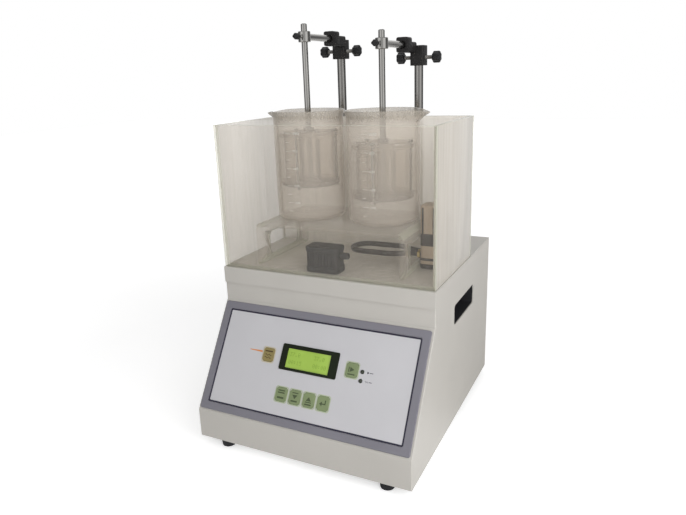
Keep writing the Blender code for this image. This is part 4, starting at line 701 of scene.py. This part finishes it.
def beaker(side):
    corner = BEAKER_CORNER
    profile = [(0, 0)] + arc(BEAKER_RADIUS - corner, corner, corner, -1, 0, 6)
    profile += [(BEAKER_RADIUS, z) for z in WALL_HEIGHTS]
    profile += [(BEAKER_RADIUS + out, BEAKER_HEIGHT + up) for out, up in RIM]
    profile += [(BEAKER_BORE, z) for z in reversed(WALL_HEIGHTS)]
    profile += arc(BEAKER_BORE - INNER_CORNER, BEAKER_BOTTOM + INNER_CORNER, INNER_CORNER, 0, -1, 6)
    profile += [(0, BEAKER_BOTTOM)]
    bm = lathe(profile, 96)
    start = BEAKER_HEIGHT - SPOUT_HEIGHT
    for point in bm.verts:
        angle = math.atan2(point.co.y, side * point.co.x)
        if abs(angle) < SPOUT_HALF_ANGLE and point.co.z > start:
            around = math.cos(math.pi / 2 * angle / SPOUT_HALF_ANGLE) ** 2
            share = around * (point.co.z - start) / SPOUT_HEIGHT
            point.co.x += side * SPOUT_REACH * share
            point.co.z -= SPOUT_DROP * share
    return bm


def beaker_scale():
    """A line for each 100 ml and a number for each 200 ml, bent round the front of the glass."""
    step = MARK_VOLUME / (math.pi * BEAKER_BORE ** 2)
    cells = []
    for mark in range(1, 11):
        numbered = mark % 2 == 0
        z = BEAKER_BOTTOM + step * mark
        cells += [(MARK_LEFT + MARK_PITCH * k, z - MARK_HEIGHT / 2, MARK_WIDTH, MARK_HEIGHT)
                  for k in range(5 if numbered else 3)]
        for column, sign in enumerate(str(100 * mark) if numbered else ""):
            x = NUMBER_LEFT + NUMBER_PITCH * column
            cells += [(x + SMALL_DOT_PITCH * across, z + NUMBER_RISE - SMALL_DOT_PITCH * down,
                       SMALL_DOT, SMALL_DOT) for across, down in dots(sign)]
    bm = bmesh.new()
    for x, z, width, height in cells:
        corners = []
        for proud in ENAMEL:
            for a, b in ((x, z), (x + width, z), (x + width, z + height), (x, z + height)):
                turn = a / BEAKER_RADIUS - math.pi / 2
                reach = BEAKER_RADIUS + proud
                corners.append(bm.verts.new((reach * math.cos(turn), reach * math.sin(turn), b)))
        for face in ((0, 1, 2, 3), (4, 5, 6, 7), (0, 1, 5, 4), (1, 2, 6, 5), (2, 3, 7, 6),
                     (3, 0, 4, 7)):
            bm.faces.new([corners[k] for k in face])
    return bm


# A basket rack: two drilled discs, six tubes, tie bolts, wire cloth and its hanging rod
PLATE_RADIUS = 0.045
TUBE_BORE = 0.010925
TUBE_OUTER = 0.012725
TUBE_SEAT = 0.001
TIE_RADIUS = 0.002
TIE_HEAD_RADIUS = 0.0038
TIE_HEAD_HEIGHT = 0.003
BASKET_ROD = 0.0045
BASKET_ROD_TOP = 0.018
HUB_RADIUS = 0.008
HUB_FOOT_RADIUS = 0.007
TUBE_SPOTS = ring(0.029, 6)
BOLT_SPOTS = arc(0, 0, 0.040, 1 / 3, 13 / 3, 3)[:-1]


def disc(tube_hole):
    holes = [ring(BASKET_ROD + GAP, 24)]
    holes += [ring(TIE_RADIUS + GAP, 16, *spot) for spot in BOLT_SPOTS]
    holes += [ring(tube_hole, 48, *spot) for spot in TUBE_SPOTS]
    return plate([ring(PLATE_RADIUS, 96)] + holes, 0, PLATE_THICKNESS, 0.0004)


def tube():
    foot = 0.0004
    top = 0.0006
    return lathe([(TUBE_BORE, foot), (TUBE_BORE + foot, 0), (TUBE_OUTER - foot, 0),
                  (TUBE_OUTER, foot), (TUBE_OUTER, TUBE_LENGTH - top),
                  (TUBE_OUTER - top, TUBE_LENGTH), (TUBE_BORE + top, TUBE_LENGTH),
                  (TUBE_BORE, TUBE_LENGTH - top)], 48)


def tie_bolts():
    """Bolts with a hexagon head at each end, seen from the upper disc's underside."""
    low = MESH_Z - GAP - UPPER_Z - TIE_HEAD_HEIGHT
    high = PLATE_THICKNESS + TIE_HEAD_HEIGHT
    parts = []
    for spot in BOLT_SPOTS:
        bolt = [lathe([(0, low), (TIE_RADIUS, low), (TIE_RADIUS, high), (0, high)], 20)]
        bolt += [plate([ring(TIE_HEAD_RADIUS, 6)], z, z + TIE_HEAD_HEIGHT, 0.0002)
                 for z in (low, high - TIE_HEAD_HEIGHT)]
        parts.append(placed(join(bolt), at(*spot)))
    return join(parts)


def wire_cloth():
    """Plain-woven wire cloth, cut to a disc."""
    reach = 0.0432
    pitch = 0.0026
    wire = 0.0003
    count = int(reach / pitch)
    parts = []
    for way in (0, 1):
        for k in range(-count, count + 1):
            offset = k * pitch
            length = math.sqrt(reach ** 2 - offset ** 2)
            steps = max(4, int(2 * length / pitch * 4))
            route = []
            for step in range(steps + 1):
                along = -length + 2 * length * step / steps
                lift = wire * math.cos(math.pi * along / pitch) * (1 if (k + way) % 2 else -1)
                route.append(Vector((offset, along, lift) if way else (along, offset, lift)))
            parts.append(swept(route, wire, 5))
    return join(parts)


def hub(radius, low, below, above):
    """Outline of a hub on the basket's rod, with a chamfer below and one above."""
    high = low + 0.006
    return [(BASKET_ROD, low), (radius - below, low), (radius, low + below),
            (radius, high - above), (radius - above, high), (BASKET_ROD, high)]


def hanging_rod():
    top = ARM_Z + BASKET_ROD_TOP - LOWER_Z
    end = 0.0004
    point = 0.001
    profile = [(0, 0), (BASKET_ROD - end, 0), (BASKET_ROD, end)]
    profile += hub(HUB_FOOT_RADIUS, PLATE_THICKNESS + GAP, 0.0002, 0.0004)
    profile += hub(HUB_RADIUS, TUBE_LENGTH + GAP, 0.0004, 0.0004)
    return lathe(profile + [(BASKET_ROD, top - point), (BASKET_ROD - point, top), (0, top)], 40)


# The drive: rod, clamp head, arm and thumbscrews
DRIVE_ROD = 0.007
DRIVE_ROD_CHAMFER = 0.001
CRANK_Z = 0.154
ROD_BELOW_CRANK = 0.090
ROD_IN_HEAD = 0.013
SOCKET_REACH = 0.056
SOCKET_BORE_DEPTH = 0.018
SOCKET_RISE = 0.015
NECK_REACH = 0.0365
NECK_RISE = 0.012
ARM_RADIUS = 0.005
COLLAR_HALF = 0.0075
COLLAR = ((0.0048, -0.0070), (0.0053, -0.0075), (0.0084, -0.0075), (0.0090, -0.0069),
          (0.0090, 0.0069), (0.0084, 0.0075), (0.0053, 0.0075), (0.0048, 0.0070))
KNOB = ((0, 0.023), (0.0042, 0.023), (0.0046, 0.0236), (0.0078, 0.0236), (0.0085, 0.0243),
        (0.0088, 0.0252), (0.0088, 0.0328), (0.0085, 0.0340), (0.0076, 0.0348), (0.0040, 0.0350),
        (0, 0.0349))
END_KNOB = ((0, 0.0165), (0.0036, 0.0165), (0.0043, 0.0172), (0.0045, 0.0180), (0.0045, 0.0262),
            (0.0042, 0.0270), (0.0036, 0.0275), (0, 0.0275))
FORWARD = rotate("X", -math.pi / 2)


def drive_rod():
    low = -ROD_BELOW_CRANK
    high = HEAD_Z + ROD_IN_HEAD - CRANK_Z
    chamfered = DRIVE_ROD - DRIVE_ROD_CHAMFER
    return lathe([(0, low), (chamfered, low), (DRIVE_ROD, low + DRIVE_ROD_CHAMFER),
                  (DRIVE_ROD, high - DRIVE_ROD_CHAMFER), (chamfered, high), (0, high)], 48)


def clamp_head(inward):
    """A block on the drive rod, a stepped neck and the arm's socket."""
    block = plate([rounded_rect(0.022, 0.022, 0.003), ring(DRIVE_ROD + GAP, 32)],
                  -0.015, 0.015, 0.0008)
    neck = plate([rounded_rect(0.014, 0.016, 0.003)], 0, 0.0265)
    socket = plate([rounded_rect(0.018, 0.022, 0.003), ring(ARM_RADIUS + GAP, 32)],
                   0, 0.020, 0.0007)
    return join([block, placed(neck, at(inward, -NECK_REACH, NECK_RISE) @ FORWARD),
                 placed(socket, at(inward, -SOCKET_REACH, SOCKET_RISE) @ FORWARD)])


def arm():
    end = DRIVE_Y - BASKET_Y - SOCKET_REACH + SOCKET_BORE_DEPTH - GAP
    bar = lathe([(0, COLLAR_HALF), (ARM_RADIUS, COLLAR_HALF), (ARM_RADIUS, end), (0, end)], 40)
    return join([placed(bar, FORWARD), lathe(COLLAR, 48)])


def thumbscrew(label, node, body, place, knob, shank):
    """A lobed knob on a threaded steel shank."""
    piece(f"{label}_knob", knob, knob_black, body, (node,), 50, place)
    piece(f"{label}_shank", shank, screw_steel, body, (node,), 25, place)


for label, side in STATIONS:
    rest = -side * REST_OFFSET
    x = side * STATION_X
    drive_x = side * DRIVE_X
    basket = f"{label}_basket"
    head = f"{label}_head"
    rack = (f"{label}_tube_rack",)
    upper = (f"{label}_upper_plate",)
    stand = at(x, BASKET_Y, BEAKER_Z)
    low = at(x, BASKET_Y, LOWER_Z + rest)
    high = at(x, BASKET_Y, UPPER_Z + rest)
    mesh = at(x, BASKET_Y, MESH_Z + MESH_THICKNESS / 2 + rest)
    piece(f"{label}_beaker_glass", beaker(side), glass, "root",
          (f"{label}_beaker",), 60, stand)
    piece(f"{label}_beaker_scale", beaker_scale(), white_print, "root",
          (), 30, stand)
    piece(f"{label}_lower_disc", disc(TUBE_BORE), plate_clear, basket, rack, 30,
          low)
    for index, spot in enumerate(TUBE_SPOTS):
        piece(f"{label}_tube_{index + 1}", tube(), tube_clear, basket, rack, 30,
              low @ at(*spot, TUBE_SEAT))
    piece(f"{label}_upper_disc", disc(TUBE_OUTER + GAP), plate_clear, basket,
          upper, 30, high)
    piece(f"{label}_tie_bolts", tie_bolts(), steel_dull, basket, upper, 30,
          high)
    piece(f"{label}_wire_cloth", wire_cloth(), wire_steel, basket,
          (f"{label}_mesh",), 40, mesh)
    piece(f"{label}_hanging_rod", hanging_rod(), steel, basket,
          (f"{label}_basket_rod",), 30, low)
    piece(f"{label}_polished_rod", drive_rod(), steel_painted_dark, f"{label}_drive",
          (f"{label}_drive_rod",), 30, at(drive_x, DRIVE_Y, CRANK_Z + rest))
    piece(f"{label}_clamp_head", clamp_head(x - drive_x), anodised, head,
          (f"{label}_boss_head",), 35, at(drive_x, DRIVE_Y, HEAD_Z + rest))
    arm_place = at(x, BASKET_Y, ARM_Z + rest)
    piece(f"{label}_arm_bar", arm(), steel, head, (f"{label}_arm",), 30,
          arm_place)
    for where, turn in (("inner", -side), ("outer", side)):
        screw = f"{label}_{where}"
        thumbscrew(screw, f"{screw}_thumbscrew", f"{screw}_screw",
                   at(drive_x, DRIVE_Y, SCREW_Z + rest) @ rotate("Y", turn * math.pi / 2),
                   lobed(KNOB, 6, 0.17, 0.006),
                   lathe(threaded(0.003, 0.0073, 0.0231, 0.001, 0.00035), 24))
    thumbscrew(f"{label}_end", f"{label}_arm_screw", f"{label}_arm_clamp",
               arm_place @ rotate("X", math.pi / 2), lobed(END_KNOB, 4, 0.18, 0.003),
               lathe(threaded(0.002, 0.0048, 0.0166, 0.0007, 0.0002), 20))

# The pump: a body with ribs on its long sides, and a nozzle
PUMP_X = -0.004
PUMP_WALL_GAP = 0.0008
PUMP_HALF_DEPTH = 0.015
PUMP_WIDE = (0.052, 0.030, 0.006)
PUMP_SLIM = (0.0496, 0.0276, 0.005)
RIB_COUNT = 9
RIB_PITCH = 0.0048
RIB_HALF = 0.0013
pump = ("circulation_pump",)
pump_place = at(PUMP_X, TANK_Y + ACRYLIC + PUMP_WALL_GAP + PUMP_HALF_DEPTH, FITTINGS_Z)
parts = [plate([rounded_rect(*PUMP_WIDE)], 0.0, 0.0085, 0.0008),
         plate([rounded_rect(*PUMP_SLIM)], 0.008, 0.0305),
         plate([rounded_rect(*PUMP_WIDE)], 0.030, 0.038, 0.0012)]
for k in range(RIB_COUNT):
    x = RIB_PITCH * (k - RIB_COUNT // 2)
    parts += [slab(x - RIB_HALF, x + RIB_HALF, y, y + 0.0020, 0.0088, 0.0298, 0.0004)
              for y in (-0.0148, 0.0128)]
parts.append(plate([rounded_rect(0.030, 0.014, 0.003)], 0.0376, 0.0384, 0.0003))
piece("pump_body", join(parts), moulded, "root", pump, 35, pump_place)
nozzle = lathe([(0.003, 0), (0.005, 0), (0.005, 0.0115), (0.0046, 0.012), (0.0034, 0.012),
                (0.003, 0.0115)], 32)
piece("pump_nozzle", nozzle, moulded, "root", pump, 35,
      pump_place @ at(0.0255, 0, 0.025) @ rotate("Y", math.pi / 2))

# The heater: a moulded riser with bands and strips, and its hairpin element
HEATER_X = 0.133
HEATER_BEHIND_BASKET = 0.001
ELEMENT_Z = 0.020
ELEMENT_RADIUS = 0.004
TERMINAL_X = -0.0130
TERMINAL_Y = 0.0075
LOOP_RADIUS = 0.022
LOOP_X = -0.101
FLARE_X = -0.04475
heater = ("tank_heater",)
heater_place = at(HEATER_X, BASKET_Y + HEATER_BEHIND_BASKET, FITTINGS_Z)
column = plate([rounded_rect(0.0252, 0.0292, 0.0056)], 0, 0.093, 0.0016)
piece("heater_column", column, heater_brown, "root", heater, 35, heater_place)
parts = [plate([rounded_rect(0.0260, 0.0300, 0.006)], low, high, 0.0006)
         for low, high in ((0.0, 0.007), (0.012, 0.016), (0.034, 0.052))]
parts += [slab(x - 0.0014, x + 0.0014, -0.0150, -0.0138, 0.052, 0.090, 0.0005)
          for x in (-0.0080, 0.0080)]
parts += [slab(side * 0.0120, side * 0.0130, -0.0020, 0.0020, 0.052, 0.090, 0.0004)
          for side in (-1, 1)]
piece("heater_bands", join(parts), element_dark, "root", heater, 35,
      heater_place)
for label, y in (("front", -TERMINAL_Y), ("rear", TERMINAL_Y)):
    nut = plate([ring(0.0068, 6), ring(ELEMENT_RADIUS, 20)], 0.0, 0.004, 0.0004)
    piece(f"heater_{label}_nut", nut, brass, "root", heater, 30,
          heater_place @ at(TERMINAL_X, y, ELEMENT_Z) @ rotate("Y", -math.pi / 2))
leg = [(-0.0065, -TERMINAL_Y), (-0.020, -TERMINAL_Y), (-0.027, -0.0080), (-0.036, -0.0128),
       (FLARE_X - 0.006, -0.0205), (FLARE_X - 0.016, -LOOP_RADIUS)]
route = leg + arc(LOOP_X, 0, LOOP_RADIUS, -1, -3, 24) + [(x, -y) for x, y in reversed(leg)]
element = swept([Vector((x, y, ELEMENT_Z)) for x, y in route], ELEMENT_RADIUS, 20)
piece("heater_element", element, element_dark, "root", heater, 35,
      heater_place)

# The temperature probe
PROBE_X = 0.144
PROBE_BEHIND_BASKET = 0.050
probe = lathe([(0, 0), (0.0074, 0), (0.008, 0.0006), (0.008, 0.0054), (0.0074, 0.006),
               (0.003, 0.006), (0.003, 0.067), (0.0026, 0.0690), (0.0015, 0.0698), (0, 0.070)],
              32)
piece("probe_sheath", probe, steel_dull, "root", ("temperature_probe",), 30,
      at(PROBE_X, BASKET_Y + PROBE_BEHIND_BASKET, FITTINGS_Z))

# The rear: screws of the panel and of the inlet, and the marks of the rocker
REAR = Matrix(((-1, 0, 0, 0), (0, 0, 1, BACK_Y), (0, 1, 0, 0), (0, 0, 0, 1)))
INLET_X = 0.105
INLET_Z = BOTTOM_Z + 0.080
INLET_SCREW_RISE = 0.0362
PANEL_SCREW_X = (-0.155, -0.052, 0.052, 0.155)
PANEL_SCREW_Z = (BOTTOM_Z + 0.011, TOP_Z - 0.013)
PANEL_SCREW_TURN = 31
INLET_SCREW_TURN = 17
INLET_FACE = 0.0028
ROCKER_RISE = 0.0160
ROCKER_PROUD = 0.0025
ROCKER_HALF = 0.013
ROCKER_SUNK = -0.00069
MARK_FILM = (0.00002, 0.00008)


def cross_screw(radius, height, place):
    """A pan head with a cross recess."""
    long = radius * 0.62
    slim = radius * 0.13
    corner = [(slim, slim), (slim, long), (-slim, long), (-slim, slim), (-long, slim),
              (-long, -slim)]
    cross = corner + [(-x, -y) for x, y in corner]
    rim = height * 0.4
    base = lathe([(0, 0), (radius, 0), (radius, rim), (0, rim)], 24)
    top = plate([ring(radius, 24), cross], rim, height, height * 0.2)
    return placed(join([base, top]), REAR @ place)


# The turns, in radians a metre, keep the recesses from lining up
screws = [cross_screw(0.0031, 0.0018, at(x, z) @ rotate("Z", x * PANEL_SCREW_TURN))
          for x in PANEL_SCREW_X for z in PANEL_SCREW_Z]
for up in (-INLET_SCREW_RISE, INLET_SCREW_RISE):
    place = at(INLET_X, INLET_Z + up, INLET_FACE) @ rotate("Z", up * INLET_SCREW_TURN)
    screws.append(cross_screw(0.0021, 0.0012, place))
piece("rear_screws", join(screws), screw_steel, "root", (), 30)
ON_MARK = bar_mark(0, 0, 0.0011, 0.0060)
OFF_MARK = [ring(0.0030, 24), ring(0.0021, 24)]
for label, shape, out, up in (("on", ON_MARK, ROCKER_PROUD, ROCKER_HALF),
                              ("off", OFF_MARK, ROCKER_SUNK, -ROCKER_HALF)):
    lean = math.atan2(abs(out), ROCKER_HALF)
    face = REAR @ at(INLET_X, INLET_Z + ROCKER_RISE + up / 2, INLET_FACE + out / 2)
    piece(f"rocker_{label}_mark", plate(shape, *MARK_FILM), white_print, "rocker",
          (), 35, face @ rotate("X", lean))

# Floor, surroundings, lamps and camera
SURROUNDINGS = [(0.0, (0.95, 0.95, 0.95)), (0.10, (0.55, 0.55, 0.55)),
                (0.22, (0.10, 0.10, 0.105)), (0.45, (0.09, 0.09, 0.09)),
                (0.60, (0.26, 0.26, 0.26)), (0.76, (0.80, 0.80, 0.80)),
                (0.90, (0.95, 0.95, 0.95)), (1.0, (0.42, 0.42, 0.42))]
BRIGHT_SIDE = (0.43, -0.90, 0)
WORLD_LIGHT = 0.50
FLOOR_HALF = 6
GLOW_NEAR, GLOW_FAR = 0.48, 0.90
NEAR, FAR = 0.6, 3.0
PHOTO_WIDTH = 686
FOCAL_PIXELS = 620.16
SENSOR = 36


def surroundings(tree, direction):
    """What a reflection shows: a pale room with two darker sides, as in a plain studio."""
    flat = vector_math(tree, "MULTIPLY", direction, (1, 1, 0))
    unit = vector_math(tree, "NORMALIZE", flat)
    facing = vector_math(tree, "DOT_PRODUCT", unit, BRIGHT_SIDE, output="Value")
    return ramp(tree, spread(tree, facing, 0.0, 1.0, -1, 1), SURROUNDINGS)


def seen_rays(tree, *sockets):
    """One where any of the ray kinds is one, and zero for the others."""
    seen = sockets[0]
    for other in sockets[1:]:
        seen = calculate(tree, "MAXIMUM", seen, other)
    return seen


stage_material, tree, shader = new_material("stage_floor")
pale = ramp(tree, noise(tree, 3, 2), [(0.3, (0.82, 0.82, 0.82)), (0.7, (0.84, 0.84, 0.84))])
paths = add(tree, "LightPath", {}).outputs
away = vector_math(tree, "LENGTH", object_place(tree), output="Value")
glow = calculate(tree, "MULTIPLY", spread(tree, away, GLOW_NEAR, GLOW_FAR, NEAR, FAR),
                 seen_rays(tree, paths["Is Camera Ray"], paths["Is Transmission Ray"]))
feed(tree, shader, {"Base Color": pale, "Roughness": 0.9, "Emission Color": (1, 1, 1, 1),
                    "Emission Strength": glow})
mirrored = add(tree, "Emission", {"Color": surroundings(tree, object_place(tree))})
either = add(tree, "MixShader", {"Fac": paths["Is Glossy Ray"], 1: shader.outputs["BSDF"],
                                 2: mirrored.outputs["Emission"]})
feed(tree, tree.nodes["Material Output"], {"Surface": either.outputs["Shader"]})
floor_mesh = bpy.data.meshes.new("floor")
floor_mesh.from_pydata([(FLOOR_HALF * x, FLOOR_HALF * y, 0)
                        for x, y in ((-1, -1), (1, -1), (1, 1), (-1, 1))], [], [(0, 1, 2, 3)])
floor_mesh.materials.append(stage_material)
link(bpy.data.objects.new("floor", floor_mesh))

world = bpy.data.worlds.new("studio")
bpy.context.scene.world = world
world.use_nodes = True
tree = world.node_tree
paths = add(tree, "LightPath", {}).outputs
white_rays = seen_rays(tree, paths["Is Camera Ray"], paths["Is Glossy Ray"],
                       paths["Is Transmission Ray"])
direction = add(tree, "TexCoord", {}).outputs["Generated"]
around = add(tree, "Mix", {"A": (1, 1, 1, 1), "B": surroundings(tree, direction),
                           "Factor": paths["Is Glossy Ray"]}, data_type="RGBA")
feed(tree, tree.nodes["Background"], {"Strength": spread(tree, white_rays, WORLD_LIGHT, 1.0),
                                      "Color": around.outputs["Result"]})


def area_light(name, place, aim, size, power):
    """A square lamp that no reflection shows."""
    data = bpy.data.lights.new(name, "AREA")
    data.shape = "RECTANGLE"
    data.size = data.size_y = size
    data.energy = power
    made = link(bpy.data.objects.new(name, data))
    made.location = place
    made.rotation_euler = (Vector(aim) - Vector(place)).to_track_quat("-Z", "Y").to_euler()
    made.visible_glossy = False


area_light("key", (1.25, -0.85, 0.66), (0, -0.05, 0.2), 1.6, 23.5)
area_light("fill", (-1.6, -1.2, 1.2), (0, 0, 0.3), 1.4, 2)

camera_data = bpy.data.cameras.new("camera")
camera_data.sensor_width = SENSOR
camera_data.lens = FOCAL_PIXELS / PHOTO_WIDTH * SENSOR
camera_data.shift_x = 1.5 / PHOTO_WIDTH
camera_data.shift_y = -2.2 / PHOTO_WIDTH
camera_data.clip_start = 0.01
camera = link(bpy.data.objects.new("camera", camera_data))
right = (0.89816, 0.43837, -0.03380)
upward = (-0.09384, 0.26622, 0.95933)
behind = (0.42955, -0.85846, 0.28025)
turn = Matrix((right, upward, behind)).transposed().to_4x4()
camera.matrix_world = at(0.4045, -0.84735, 0.5355) @ turn
bpy.context.scene.camera = camera
bpy.context.scene.view_settings.view_transform = "Standard"
bpy.context.scene.cycles.transparent_max_bounces = 64
